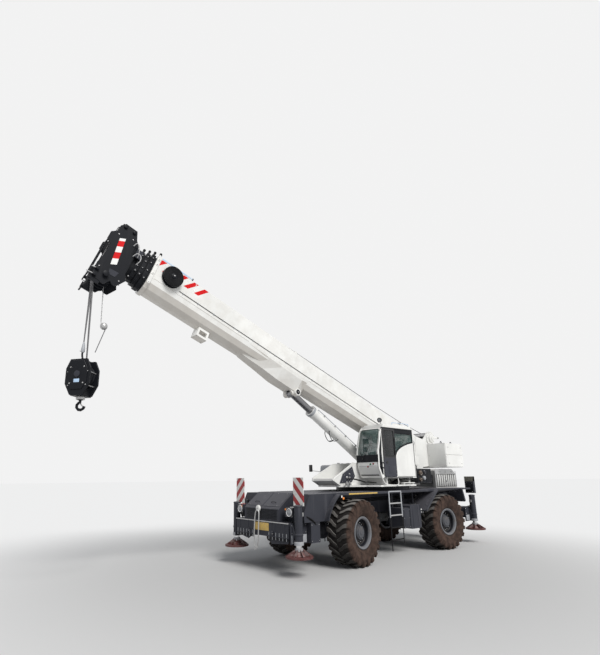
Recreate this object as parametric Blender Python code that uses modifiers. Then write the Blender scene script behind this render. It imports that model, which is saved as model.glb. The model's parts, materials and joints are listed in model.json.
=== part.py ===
"""Rough terrain crane: a two-axle carrier with four steered wheels and a five-section boom.

Metres, +Z up, ground at z = 0. Stations along X are measured from the front axle, forward is +X, left is +Y.
The whole machine hangs on one empty, which puts the middle of its length at X = 0 and its lowest lugs at Z = 0.
"""

import math

import bmesh
import bpy
from mathutils import Matrix, Vector

# Fits between pieces
SEAT = 0.0003
RUN = 0.006

# Wheels, tyres and steering
WHEELBASE = 4.90
HALF_TRACK = 1.36
TYRE_RADIUS = 0.935
TYRE_WIDTH = 0.74
BEAD_RADIUS = 0.40
LUG_HEIGHT = 0.048
LUGS_PER_SIDE = 16
LUG_LEAD = math.radians(9.0)
TYRE_STEPS = 20
RIM_FLANGE_RADIUS = 0.452
RIM_WALL = 0.022
HUB_RADIUS = 0.20
KINGPIN_HALF = 1.00
FRONT_STEER = math.radians(7.0)
REAR_STEER = math.radians(-6.0)

# Axle beams
AXLE_TUBE_RADIUS = 0.13
DIFF_RADIUS = 0.30
YOKE_HALF_HEIGHT = 0.235
YOKE_PLATE = 0.055

# Carrier frame, deck and fenders
DECK_TOP = 2.06
DECK_PLATE = 0.06
DECK_HALF_WIDTH = 1.45
FRAME_HALF_WIDTH = 0.48
FRAME_BOTTOM = 1.33
FRAME_REAR = -7.42
ARCH_CLEARANCE = 0.385
ARCH_RADIUS = TYRE_RADIUS + ARCH_CLEARANCE
FRONT_BODY_NOSE = 2.06
HOOD_NOSE = 2.40
HOOD_HALF_WIDTH = 0.80
HOOD_FRONT_TOP = 1.70
FENDER_HALF_WIDTH = 1.60
FENDER_INNER = 0.95
FENDER_SHEET = 0.05
LADDER_STATIONS = (-2.35, -1.70)
LADDER_BOTTOM = 0.24
LADDER_RUNGS = 5
LADDER_PITCH = 0.37
LAMP_PANEL_REAR = -7.74

# Outriggers
BOX_LENGTH = 0.60
BOX_HEIGHT = 0.40
BOX_HALF_WIDTH = 1.20
FRONT_BOX_NOSE = 2.42
BEAM_WIDTH = 0.22
BEAM_HEIGHT = 0.28
BEAM_OUTER = 1.26
BEAM_LENGTH = 2.40
JACK_HALF_SPREAD = 1.42
SLEEVE_RADIUS = 0.11
SLEEVE_TOP = 1.75
SLEEVE_BOTTOM = 0.80
JACK_ROD_RADIUS = 0.075
PAD_RADIUS = 0.36
PAD_BOTTOM = 0.48
PAD_THICKNESS = 0.05
END_PLATE_DROP = 0.13

# Engine and its hood behind the rear axle
ENGINE_HOOD_FRONT = -5.55
ENGINE_HOOD_REAR = -7.15
ENGINE_HOOD_HALF = 0.90
ENGINE_HOOD_TOP = 2.80
LOUVRES = 9
LOUVRE_PITCH = 0.13
HOOD_SHEET = 0.04

# Slewing superstructure
SLEW_STATION = -2.75
RING_RADIUS = 1.30
RING_HEIGHT = 0.14
BASE_PLATE = 0.05
CHEEK_INNER = 0.46
CHEEK_PLATE = 0.04
WEIGHT_FRONT = -5.84
WEIGHT_REAR = -7.15
WEIGHT_HALF_WIDTH = 1.30
WEIGHT_BOTTOM = 2.86
WEIGHT_TOP = 3.80
WINCH_STATION = -6.10
WINCH_HEIGHT = 4.08
DRUM_RADIUS = 0.17
DRUM_FLANGE_RADIUS = 0.24

# Cab on the left of the turntable
CAB_REAR = -3.44
CAB_FRONT = -1.33
CAB_LEAN = 0.20
CAB_BOTTOM = 2.47
CAB_TOP = 4.20
CAB_INNER = 0.53
CAB_OUTER = 1.43
CAB_WALL = 0.05
DOOR_FRONT = -1.60
DOOR_REAR = -2.28
DOOR_THICKNESS = 0.035

# Boom, in its own frame: u along the boom from its foot pin, w square to it
PIVOT_STATION = -4.75
PIVOT_HEIGHT = 3.80
BOOM_ANGLE = math.radians(20.0)
BOOM_TAIL = -0.42
BASE_FRONT = 11.70
SECTION_WALL = 0.012
COLLAR_LENGTH = 0.10
COLLAR_PITCH = 0.13
COLLAR_RIM = 0.03
SCREW_HEIGHT = 0.12
SECTION_TAIL = 0.60
LIFT_PIN_U = 5.97
LIFT_PIN_W = -0.69
LIFT_FOOT_STATION = -2.80
LIFT_FOOT_RISE = 0.57
FOOT_EYE_HALF = 0.18
FOOT_EYE_RADIUS = 0.14
BARREL_RADIUS = 0.17
GLAND_RADIUS = 0.19
BARREL_START = 0.09
BARREL_LENGTH = 3.61
GLAND_LENGTH = 0.10
BORE_START = 0.30
ROD_REACH = 3.62
LIFT_ROD_RADIUS = 0.115
EYE_RADIUS = 0.12
EYE_HALF_WIDTH = 0.125
EAR_PLATE = 0.07
HEAD_SHEAVE_RADIUS = 0.22
HEAD_SHEAVE_SPREAD = 0.24
HEAD_SHEAVES = 4
SHEAVE_HALF_WIDTH = 0.035
GROOVE_DEPTH = 0.028
LOWER_SHEAVES_U = 12.68
LOWER_SHEAVES_W = -0.81

# Hook block, in a frame that hangs from the lower sheaves' axle
BLOCK_TOP = -2.16
BLOCK_HEIGHT = 0.84
BLOCK_WIDTH = 0.62
BLOCK_HALF_THICKNESS = 0.19
BLOCK_TURN = math.radians(-50.0)
ROPE_RADIUS = 0.011

# Each boom section's outline: half width, top and bottom about the boom's axis
SECTION_OUTLINES = (
    (0.360, 0.510, -0.550),
    (0.325, 0.470, -0.505),
    (0.290, 0.430, -0.460),
    (0.255, 0.390, -0.415),
    (0.220, 0.350, -0.370),
)
CREASE_BELOW_AXIS = -0.15

# The boom's belly over the lifting pin: station, then half width and level of its upper and of its lower edge
BELLY_SECTIONS = (
    (8.25, 0.352, -0.20, 0.15, -0.535),
    (7.45, 0.364, -0.23, 0.20, -0.60),
    (6.85, 0.368, -0.26, 0.23, -0.67),
    (6.16, 0.368, -0.28, 0.22, -0.68),
)
# Each side gusset behind it: station, level of its inner edge, lower outer corner, upper outer corner
GUSSET_SECTIONS = (
    (6.20, -0.72, (0.22, -0.68), (0.368, -0.28)),
    (5.98, -0.72, (0.22, -0.68), (0.366, -0.27)),
    (5.74, -0.56, (0.18, -0.545), (0.362, -0.25)),
)

COLLECTION = "rough_terrain_crane"


def start_scene():
    for obj in list(bpy.data.objects):
        bpy.data.objects.remove(obj, do_unlink=True)
    for name in (COLLECTION, "guides"):
        collection = bpy.data.collections.new(name)
        bpy.context.scene.collection.children.link(collection)


def make_material(name, colour, roughness, metallic):
    material = bpy.data.materials.new(name)
    material.use_nodes = True
    shader = material.node_tree.nodes["Principled BSDF"]
    shader.inputs["Base Color"].default_value = (*colour, 1.0)
    shader.inputs["Roughness"].default_value = roughness
    shader.inputs["Metallic"].default_value = metallic
    return material


def make_materials():
    # name: colour, roughness, metallic
    finishes = {
        "carrier_grey": ((0.045, 0.05, 0.06), 0.45, 0.0),
        "crane_white": ((0.80, 0.80, 0.77), 0.35, 0.0),
        "tyre_rubber": ((0.07, 0.06, 0.055), 0.85, 0.0),
        "rim_paint": ((0.06, 0.07, 0.085), 0.4, 0.0),
        "black_steel": ((0.02, 0.02, 0.025), 0.5, 0.3),
        "bare_steel": ((0.45, 0.45, 0.45), 0.35, 0.9),
        "seat_cloth": ((0.05, 0.05, 0.055), 0.9, 0.0),
        "board_white": ((0.8, 0.78, 0.75), 0.5, 0.0),
        "engine_grey": ((0.18, 0.19, 0.2), 0.6, 0.4),
    }
    return {name: make_material(name, *values) for name, values in finishes.items()}


def link_mesh(name, mesh):
    obj = bpy.data.objects.new(name, mesh)
    bpy.data.collections[COLLECTION].objects.link(obj)
    return obj


def from_bmesh(name, bm):
    bmesh.ops.recalc_face_normals(bm, faces=bm.faces)
    mesh = bpy.data.meshes.new(name)
    bm.to_mesh(mesh)
    bm.free()
    return link_mesh(name, mesh)


def box(name, x, y, z):
    """A block from three (low, high) pairs."""
    bm = bmesh.new()
    size = Vector((x[1] - x[0], y[1] - y[0], z[1] - z[0]))
    middle = Vector((x[1] + x[0], y[1] + y[0], z[1] + z[0])) / 2
    bmesh.ops.create_cube(bm, size=1.0, matrix=Matrix.Translation(middle) @ Matrix.Diagonal((*size, 1.0)))
    return from_bmesh(name, bm)


AXIS_TURNS = {
    "x": Matrix.Rotation(math.pi / 2, 4, "Y"),
    "y": Matrix.Rotation(-math.pi / 2, 4, "X"),
    "z": Matrix.Identity(4),
}


def cylinder(name, axis, start, end, centre, radius, steps=24, end_radius=None):
    """A round bar along an axis from start to end, about centre, which gives the other two coordinates in order."""
    bm = bmesh.new()
    middle = (start + end) / 2
    places = {
        "x": (middle, centre[0], centre[1]),
        "y": (centre[0], middle, centre[1]),
        "z": (centre[0], centre[1], middle),
    }
    bmesh.ops.create_cone(
        bm,
        cap_ends=True,
        segments=steps,
        radius1=radius,
        radius2=radius if end_radius is None else end_radius,
        depth=end - start,
        matrix=Matrix.Translation(places[axis]) @ AXIS_TURNS[axis],
    )
    return from_bmesh(name, bm)


def bake(obj):
    """The object's modifiers become its mesh."""
    bpy.context.view_layer.update()
    graph = bpy.context.evaluated_depsgraph_get()
    mesh = bpy.data.meshes.new_from_object(obj.evaluated_get(graph))
    obj.modifiers.clear()
    obj.data = mesh
    return obj


def combine(target, others, operation):
    for other in others:
        modifier = target.modifiers.new("join", "BOOLEAN")
        modifier.operation = operation
        modifier.solver = "EXACT"
        modifier.object = other
    bake(target)
    for other in others:
        bpy.data.objects.remove(other, do_unlink=True)
    return target


def unite(target, *others):
    return combine(target, others, "UNION")


def cut(target, *others):
    return combine(target, others, "DIFFERENCE")


def outline_solid(name, loops, plane, low, high):
    """A flat outline with its holes, extruded from low to high along the axis that the plane leaves out."""
    curve = bpy.data.curves.new(name, "CURVE")
    curve.dimensions = "2D"
    curve.fill_mode = "BOTH"
    curve.extrude = (high - low) / 2
    for loop in loops:
        spline = curve.splines.new("POLY")
        spline.points.add(len(loop) - 1)
        for point, (a, b) in zip(spline.points, loop):
            point.co = (a, b, 0.0, 1.0)
        spline.use_cyclic_u = True
    guide = bpy.data.objects.new(name + "_outline", curve)
    bpy.data.collections["guides"].objects.link(guide)
    bpy.context.view_layer.update()
    graph = bpy.context.evaluated_depsgraph_get()
    mesh = bpy.data.meshes.new_from_object(guide.evaluated_get(graph))
    bpy.data.objects.remove(guide, do_unlink=True)
    bm = bmesh.new()
    bm.from_mesh(mesh)
    bmesh.ops.remove_doubles(bm, verts=bm.verts, dist=0.00002)
    middle = (low + high) / 2
    turns = {
        "xz": Matrix(((1, 0, 0, 0), (0, 0, 1, middle), (0, 1, 0, 0), (0, 0, 0, 1))),
        "yz": Matrix(((0, 0, 1, middle), (1, 0, 0, 0), (0, 1, 0, 0), (0, 0, 0, 1))),
        "xy": Matrix(((1, 0, 0, 0), (0, 1, 0, 0), (0, 0, 1, middle), (0, 0, 0, 1))),
    }
    bmesh.ops.transform(bm, matrix=turns[plane], verts=bm.verts)
    return from_bmesh(name, bm)


def loft(name, stations):
    """A solid through sections square to X, given as a station and its (y, z) points, equally many in each."""
    bm = bmesh.new()
    loops = [[bm.verts.new((station, y, z)) for y, z in points] for station, points in stations]
    for before, after in zip(loops, loops[1:]):
        for i in range(len(before)):
            j = (i + 1) % len(before)
            bm.faces.new((before[i], before[j], after[j], after[i]))
    bm.faces.new(loops[0])
    bm.faces.new(loops[-1][::-1])
    bmesh.ops.triangulate(bm, faces=bm.faces)
    return from_bmesh(name, bm)


def turned(name, profile, axis, steps, closed=False):
    """A profile of (radius, distance along the axis) turned about that axis through the origin."""
    bm = bmesh.new()
    points = [bm.verts.new((radius, 0.0, along)) for radius, along in profile]
    for first, second in zip(points, points[1:] + ([points[0]] if closed else [])):
        bm.edges.new((first, second))
    mesh = bpy.data.meshes.new(name)
    bm.to_mesh(mesh)
    bm.free()
    obj = link_mesh(name, mesh)
    screw = obj.modifiers.new("turn", "SCREW")
    screw.steps = steps
    screw.render_steps = steps
    screw.use_merge_vertices = True
    screw.merge_threshold = 0.0001
    bake(obj)
    bm = bmesh.new()
    bm.from_mesh(obj.data)
    bmesh.ops.remove_doubles(bm, verts=bm.verts, dist=0.00005)
    bmesh.ops.transform(bm, matrix=AXIS_TURNS[axis], verts=bm.verts)
    bmesh.ops.recalc_face_normals(bm, faces=bm.faces)
    bm.to_mesh(obj.data)
    bm.free()
    return obj


def moved(obj, matrix):
    obj.data.transform(matrix)
    return obj


def shifted(obj, x, y, z):
    return moved(obj, Matrix.Translation((x, y, z)))


def bar(name, start, end, radius, steps=8):
    """A round rod between two points."""
    start = Vector(start)
    end = Vector(end)
    run = end - start
    bm = bmesh.new()
    turn = run.to_track_quat("Z", "Y").to_matrix().to_4x4()
    bmesh.ops.create_cone(
        bm,
        cap_ends=True,
        segments=steps,
        radius1=radius,
        radius2=radius,
        depth=run.length,
        matrix=Matrix.Translation((start + end) / 2) @ turn,
    )
    return from_bmesh(name, bm)


def arc(centre, radius, start, end, steps):
    """Points on a circle's arc, ends included, angles in degrees."""
    points = []
    for i in range(steps + 1):
        angle = math.radians(start + (end - start) * i / steps)
        points.append((centre[0] + radius * math.cos(angle), centre[1] + radius * math.sin(angle)))
    return points


def sheet_outline(points, thickness):
    """The outline of a bent sheet: its outer line, then the same line pushed in by the thickness."""
    inner = []
    for i, point in enumerate(points):
        before = Vector(points[max(i - 1, 0)])
        after = Vector(points[min(i + 1, len(points) - 1)])
        first = (Vector(point) - before).normalized() if i else (after - Vector(point)).normalized()
        last = (after - Vector(point)).normalized() if i < len(points) - 1 else first
        normal_a = Vector((-first.y, first.x))
        normal_b = Vector((-last.y, last.x))
        bisector = (normal_a + normal_b).normalized()
        reach = thickness / max(bisector.dot(normal_a), 0.3)
        inner.append(tuple(Vector(point) + bisector * reach))
    return list(points) + inner[::-1]


def ride(obj, parent, material):
    """Parents a piece to the empty of its body and gives it its finish."""
    obj.parent = parent
    obj.data.materials.clear()
    obj.data.materials.append(material)
    obj.data.shade_smooth()
    obj.data.set_sharp_from_angle(angle=math.radians(32))
    return obj


def ride_in_place(obj, parent, material):
    """The same for a piece that was drawn in the machine's frame."""
    ride(obj, parent, material)
    bpy.context.view_layer.update()
    obj.matrix_parent_inverse = parent.matrix_world.inverted()
    return obj


def empty(name, location, parent=None, turn=(0.0, 0.0, 0.0)):
    obj = bpy.data.objects.new(name, None)
    bpy.data.collections[COLLECTION].objects.link(obj)
    obj.location = location
    obj.rotation_euler = turn
    obj.parent = parent
    return obj


def tyre_lug(index, side):
    """One chevron lug: a block whose inner end leads and whose outer end wraps over the shoulder."""
    pitch = 2 * math.pi / LUGS_PER_SIDE
    # end: distance from the tyre's middle, top radius, bottom radius, half width along the tread
    ends = {
        0: (0.02, TYRE_RADIUS, TYRE_RADIUS - 1.9 * LUG_HEIGHT, 0.042),
        1: (TYRE_WIDTH / 2 - 0.004, TYRE_RADIUS - 0.6 * LUG_HEIGHT, TYRE_RADIUS - 5.0 * LUG_HEIGHT, 0.058),
    }
    bm = bmesh.new()
    bmesh.ops.create_cube(bm, size=2.0)
    start = (index + (0.5 if side > 0 else 0.0)) * pitch
    for vert in bm.verts:
        outer = 1 if vert.co.y > 0 else 0
        across, top, bottom, half = ends[outer]
        radius = top if vert.co.z > 0 else bottom
        turn = start + LUG_LEAD * (0.0 if outer else 1.0) + vert.co.x * half / TYRE_RADIUS
        vert.co = (radius * math.sin(turn), side * across, radius * math.cos(turn))
    return from_bmesh("lug", bm)


def joined(name, pieces):
    """Several separate shapes as one mesh, for one Boolean."""
    bm = bmesh.new()
    for piece in pieces:
        bm.from_mesh(piece.data)
        bpy.data.objects.remove(piece, do_unlink=True)
    return from_bmesh(name, bm)


def make_tyre(name):
    tread = TYRE_RADIUS - LUG_HEIGHT
    half = TYRE_WIDTH / 2
    side_profile = [
        (BEAD_RADIUS + SEAT, 0.285),
        (RIM_FLANGE_RADIUS + 0.008, 0.285),
        (0.70, half),
        (tread, half - 0.11),
    ]
    profile = side_profile + [(radius, -along) for radius, along in reversed(side_profile)]
    tyre = turned(name, profile, "y", TYRE_STEPS, closed=True)
    lugs = [tyre_lug(i, side) for side in (1, -1) for i in range(LUGS_PER_SIDE)]
    return unite(tyre, joined("lugs", lugs))


def make_rim(name):
    """A dished rim: barrel, two flanges, disc and hub cap, in one turned shape."""
    barrel = BEAD_RADIUS - RIM_WALL
    lip = 0.285 + SEAT
    profile = [
        (0.0, 0.25),
        (0.16, 0.24),
        (HUB_RADIUS, 0.12),
        (barrel - 0.04, 0.11),
        (barrel, 0.25),
        (RIM_FLANGE_RADIUS, lip + 0.022),
        (RIM_FLANGE_RADIUS, lip),
        (BEAD_RADIUS, lip),
        (BEAD_RADIUS, -lip),
        (RIM_FLANGE_RADIUS, -lip),
        (RIM_FLANGE_RADIUS, -lip - 0.02),
        (barrel, -lip - 0.02),
        (barrel, 0.05),
        (0.0, 0.05),
    ]
    return turned(name, profile, "y", TYRE_STEPS)


def make_knuckle(name, side):
    """The steered hub carrier: kingpin barrel and spindle drum, drawn about the kingpin."""
    spindle = HALF_TRACK - KINGPIN_HALF + 0.05 - SEAT
    drum = cylinder(name, "y", -0.05, spindle, (0.0, 0.0), 0.19, 14)
    kingpin = cylinder("kingpin", "z", -YOKE_HALF_HEIGHT + SEAT, YOKE_HALF_HEIGHT - SEAT, (0.0, 0.0), 0.09, 12)
    arm = box("arm", (-0.42, 0.0), (-0.12, -0.04), (-0.05, 0.05))
    unite(drum, kingpin, arm)
    return drum if side > 0 else mirrored(drum)


def mirrored(obj):
    moved(obj, Matrix.Diagonal((1.0, -1.0, 1.0, 1.0)))
    obj.data.flip_normals()
    return obj


def make_axle(name):
    """Tube, differential bulb, top bracket and a yoke at each end, drawn about the axle's middle."""
    back = 0.72
    end = back + 0.01
    profile = [
        (0.0, end),
        (AXLE_TUBE_RADIUS, end),
        (AXLE_TUBE_RADIUS, 0.36),
        (DIFF_RADIUS, 0.14),
        (DIFF_RADIUS, -0.14),
        (AXLE_TUBE_RADIUS, -0.36),
        (AXLE_TUBE_RADIUS, -end),
        (0.0, -end),
    ]
    axle = turned(name, profile, "y", 14)
    top = YOKE_HALF_HEIGHT + YOKE_PLATE
    pieces = []
    for side in (1, -1):
        seat_y = sorted((side * 0.38, side * 0.46))
        pieces.append(box("seat", (-0.16, 0.16), seat_y, (0.0, FRAME_BOTTOM - SEAT - TYRE_RADIUS)))
        inner = side * back
        yoke = [
            (inner, -top + 0.002),
            (side * KINGPIN_HALF, -top + 0.002),
            (side * KINGPIN_HALF, -YOKE_HALF_HEIGHT - 0.002),
            (inner + side * 0.05, -YOKE_HALF_HEIGHT - 0.002),
            (inner + side * 0.05, YOKE_HALF_HEIGHT + 0.002),
            (side * KINGPIN_HALF, YOKE_HALF_HEIGHT + 0.002),
            (side * KINGPIN_HALF, top - 0.002),
            (inner, top - 0.002),
        ]
        pieces.append(outline_solid("yoke", [yoke], "yz", -0.09, 0.09))
        for z in (YOKE_HALF_HEIGHT, -top):
            pieces.append(cylinder("yoke_pad", "z", z, z + YOKE_PLATE, (0.0, side * KINGPIN_HALF), 0.11, 10))
    return unite(axle, *pieces)


def make_wheels(root, steel):
    """Both axles, with a steered knuckle, rim and tyre at each corner."""
    # axle: name, station, rest steer
    axles = (("front", 0.0, FRONT_STEER), ("rear", -WHEELBASE, REAR_STEER))
    tyre_mesh = None
    rim_mesh = None
    for end, station, steer in axles:
        axle = shifted(make_axle("axle_" + end), station, 0.0, TYRE_RADIUS)
        ride(axle, root, steel["carrier_grey"])
        for letter, side in (("left", 1), ("right", -1)):
            label = end + "_" + letter
            place = (station, side * KINGPIN_HALF, TYRE_RADIUS)
            kingpin = empty("kingpin_" + label, place, root, (0.0, 0.0, steer))
            hub = empty("hub_" + label, (0.0, side * (HALF_TRACK - KINGPIN_HALF), 0.0), kingpin)
            ride(make_knuckle("knuckle_" + label, side), kingpin, steel["carrier_grey"])
            if tyre_mesh is None:
                tyre = make_tyre("tyre_" + label)
                rim = make_rim("rim_" + label)
                tyre_mesh = tyre.data
                rim_mesh = rim.data
            else:
                tyre = link_mesh("tyre_" + label, tyre_mesh.copy())
                rim = link_mesh("rim_" + label, rim_mesh.copy())
                if side < 0:
                    mirrored(tyre)
                    mirrored(rim)
            ride(tyre, hub, steel["tyre_rubber"])
            ride(rim, hub, steel["rim_paint"])


def make_frame(root, steel):
    """The chassis: a box beam from the rear outriggers to the front wheel arch."""
    top = DECK_TOP - DECK_PLATE - SEAT
    radius = ARCH_RADIUS - RUN
    low = math.degrees(math.asin((FRAME_BOTTOM - TYRE_RADIUS) / radius))
    high = math.degrees(math.asin((top - TYRE_RADIUS) / radius))
    outline = [(FRAME_REAR, FRAME_BOTTOM)] + arc((0.0, TYRE_RADIUS), radius, low, high, 8)
    outline += [(FRAME_REAR, top)]
    frame = outline_solid("chassis_frame", [outline], "xz", -FRAME_HALF_WIDTH, FRAME_HALF_WIDTH)
    ride(frame, root, steel["carrier_grey"])


def make_body(root, steel):
    """Deck, front housing with its wheel arches, hood nose, lamp boxes and rear fenders, welded as one."""
    under = DECK_TOP - DECK_PLATE
    body = box("carrier_body", (-6.30, 0.90), (-DECK_HALF_WIDTH, DECK_HALF_WIDTH), (under, DECK_TOP))
    low = math.degrees(math.asin((FRAME_BOTTOM - TYRE_RADIUS) / ARCH_RADIUS))
    high = math.degrees(math.asin((under + 0.02 - TYRE_RADIUS) / ARCH_RADIUS))
    arch = arc((0.0, TYRE_RADIUS), ARCH_RADIUS, high, low, 8)
    housing_outline = arch + [
        (FRONT_BODY_NOSE, FRAME_BOTTOM),
        (FRONT_BODY_NOSE + 0.02, 1.56),
        (FRONT_BODY_NOSE - 0.22, DECK_TOP),
        (0.70, DECK_TOP),
    ]
    housing = outline_solid("housing", [housing_outline], "xz", -DECK_HALF_WIDTH, DECK_HALF_WIDTH)
    hood_outline = [
        (1.50, FRAME_BOTTOM),
        (HOOD_NOSE, FRAME_BOTTOM),
        (HOOD_NOSE, HOOD_FRONT_TOP - 0.04),
        (HOOD_NOSE - 0.04, HOOD_FRONT_TOP),
        (1.86, 2.09),
        (1.50, 2.09),
    ]
    hood = outline_solid("hood", [hood_outline], "xz", -HOOD_HALF_WIDTH, HOOD_HALF_WIDTH)
    pieces = [housing, hood]
    rear_deck = box("rear_deck", (FRAME_REAR, -6.25), (-1.30, 1.30), (under, DECK_TOP))
    pieces.append(rear_deck)
    fender_line = [(-6.34, 1.58), (-6.18, DECK_TOP + 0.03), (-4.46, DECK_TOP + 0.03), (-3.60, 1.38)]
    for side in (1, -1):
        y = sorted((side * FENDER_INNER, side * FENDER_HALF_WIDTH))
        outline = sheet_outline(fender_line[::-1], FENDER_SHEET)
        pieces.append(outline_solid("rear_fender", [outline], "xz", *y))
        # Front fender lip, out to the tyre's face
        lip = arc((0.0, TYRE_RADIUS), ARCH_RADIUS + 0.035, high, low, 8)
        lip_outline = arch + lip[::-1]
        y = sorted((side * (DECK_HALF_WIDTH - 0.02), side * FENDER_HALF_WIDTH))
        pieces.append(outline_solid("front_fender", [lip_outline], "xz", *y))
        y = sorted((side * 0.98, side * 1.30))
        pieces.append(box("lamp_box", (FRONT_BODY_NOSE - 0.1, 2.34), y, (1.48, 1.72)))
        # Rear lamp panel, held behind the deck by its arm
        arm_y = sorted((side * 1.06, side * 1.22))
        pieces.append(box("lamp_arm", (LAMP_PANEL_REAR + 0.13, FRAME_REAR + 0.07), arm_y, (under + 0.005, DECK_TOP - 0.005)))
        panel_y = sorted((side * 1.00, side * 1.36))
        pieces.append(box("lamp_panel", (LAMP_PANEL_REAR, LAMP_PANEL_REAR + 0.14), panel_y, (DECK_TOP - 0.22, DECK_TOP + 0.44)))
    unite(body, *pieces)
    ride(body, root, steel["carrier_grey"])


def make_boards(root, steel):
    """Striped marker boards on posts at the front corners."""
    for letter, side in (("left", 1), ("right", -1)):
        y = sorted((side * 1.16, side * 1.56))
        board = box("marker_board_" + letter, (2.16, 2.18), y, (1.77, 2.51))
        post = box("post", (2.12, 2.17), sorted((side * 1.20, side * 1.26)), (1.7203, 2.40))
        foot = box("foot", (2.12, 2.30), sorted((side * 1.14, side * 1.28)), (1.72 + SEAT, 1.74))
        unite(board, post, foot)
        ride(board, root, steel["board_white"])


def outrigger_channels(nose):
    """The stations of a box's two channels, front one first."""
    wall = (BOX_LENGTH - 2 * (BEAM_WIDTH + 2 * RUN)) / 3
    first = nose - wall - RUN - BEAM_WIDTH / 2
    return first, first - wall - 2 * RUN - BEAM_WIDTH


def front_box_details(rear, bottom, top):
    """A hose housing behind each end of the front box, and two skirts with ribs under it."""
    pieces = []
    for side in (1, -1):
        y = sorted((side * 0.95, side * 1.45))
        pieces.append(box("hose_housing", (rear - 0.34, rear + 0.005), y, (bottom - 0.13, top - 0.01)))
    # Each skirt's outline across the machine, and the places of its ribs
    skirts = (
        ([(0.36, bottom + 0.01), (0.45, 0.74), (1.15, 0.80), (1.19, bottom + 0.01)], (0.55, 0.78, 1.02)),
        ([(-0.38, bottom + 0.01), (-0.63, 0.79), (-1.05, 0.87), (-1.05, bottom + 0.01)], (-0.78,)),
    )
    for outline, ribs in skirts:
        pieces.append(outline_solid("skirt", [outline], "yz", FRONT_BOX_NOSE - 0.06, FRONT_BOX_NOSE - 0.03))
        for rib in ribs:
            y = (rib - 0.012, rib + 0.012)
            pieces.append(box("rib", (FRONT_BOX_NOSE - 0.30, FRONT_BOX_NOSE - 0.04), y, (0.83, bottom + 0.01)))
    return pieces


def make_outriggers(root, steel):
    """Two boxes across the machine, each with a beam to the left and one to the right, and a jack on each."""
    box_top = FRAME_BOTTOM - SEAT
    box_bottom = box_top - BOX_HEIGHT
    beam_bottom = box_bottom + (BOX_HEIGHT - BEAM_HEIGHT) / 2
    for end, nose in (("front", FRONT_BOX_NOSE), ("rear", FRAME_REAR + BOX_LENGTH)):
        channels = outrigger_channels(nose)
        loops = [[(nose - BOX_LENGTH, box_bottom), (nose, box_bottom), (nose, box_top), (nose - BOX_LENGTH, box_top)]]
        for station in channels:
            left = station - BEAM_WIDTH / 2 - RUN
            right = station + BEAM_WIDTH / 2 + RUN
            low = beam_bottom - SEAT
            high = beam_bottom + BEAM_HEIGHT + RUN
            loops.append([(left, low), (right, low), (right, high), (left, high)])
        housing = outline_solid("outrigger_box_" + end, loops, "xz", -BOX_HALF_WIDTH, BOX_HALF_WIDTH)
        if end == "front":
            unite(housing, *front_box_details(nose - BOX_LENGTH, box_bottom, box_top))
        ride(housing, root, steel["carrier_grey"])
        jack_station = nose - BOX_LENGTH / 2 + (0.13 if end == "front" else -0.10)
        for letter, side, station in (("left", 1, channels[0]), ("right", -1, channels[1])):
            label = end + "_" + letter
            slide = empty("beam_slide_" + label, (station, side * BEAM_OUTER, beam_bottom), root)
            beam_y = sorted((side * (BEAM_OUTER - BEAM_LENGTH), side * BEAM_OUTER))
            beam_x = (station - BEAM_WIDTH / 2, station + BEAM_WIDTH / 2)
            beam = box("outrigger_beam_" + label, beam_x, beam_y, (beam_bottom, beam_bottom + BEAM_HEIGHT))
            plate_y = sorted((side * (BEAM_OUTER - 0.01), side * (BEAM_OUTER + 0.03)))
            plate_x = (nose - BOX_LENGTH + 0.01, nose - 0.01)
            plate = box("plate", plate_x, plate_y, (box_bottom - END_PLATE_DROP, box_top - 0.01))
            jack_place = (jack_station, side * JACK_HALF_SPREAD)
            web_y = sorted((side * BEAM_OUTER, side * JACK_HALF_SPREAD))
            web = box("web", (jack_station - 0.09, jack_station + 0.09), web_y, (box_bottom + 0.03, box_top - 0.06))
            sleeve = cylinder("sleeve", "z", SLEEVE_BOTTOM, SLEEVE_TOP, jack_place, SLEEVE_RADIUS, 16)
            unite(beam, plate, web, sleeve)
            bore_radius = JACK_ROD_RADIUS + SEAT
            bore = cylinder("bore", "z", SLEEVE_BOTTOM - 0.1, SLEEVE_TOP - 0.03, jack_place, bore_radius, 16)
            cut(beam, bore)
            ride_in_place(beam, slide, steel["carrier_grey"])
            bpy.context.view_layer.update()
            drop_place = (jack_station - station, side * (JACK_HALF_SPREAD - BEAM_OUTER), 0.0)
            drop = empty("jack_drop_" + label, drop_place, slide)
            pad_top = PAD_BOTTOM + PAD_THICKNESS
            jack = cylinder("jack_" + label, "z", pad_top, SLEEVE_TOP - 0.05, jack_place, JACK_ROD_RADIUS, 16)
            pad = cylinder("pad", "z", PAD_BOTTOM, pad_top, jack_place, PAD_RADIUS, 20)
            cone = cylinder("cone", "z", pad_top - 0.01, pad_top + 0.10, jack_place, 0.20, 14, 0.10)
            unite(jack, pad, cone)
            ride_in_place(jack, drop, steel["black_steel"])


def make_ladder(name, side, root, steel):
    """A side ladder from the deck's edge down, rungs between two rails."""
    y = side * (DECK_HALF_WIDTH + 0.03 + SEAT)
    rail_y = sorted((y, y - side * 0.03))
    rung_y = sorted((y, y - side * 0.028))
    rails = [box("rail", (s - 0.025, s + 0.025), rail_y, (LADDER_BOTTOM, DECK_TOP)) for s in LADDER_STATIONS]
    rungs = []
    for i in range(LADDER_RUNGS):
        z = DECK_TOP - 0.03 - i * LADDER_PITCH
        rungs.append(box("rung", LADDER_STATIONS, rung_y, (z, z + 0.03)))
    ladder = unite(rails[0], rails[1], *rungs)
    ladder.name = name
    ride(ladder, root, steel["carrier_grey"])


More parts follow.
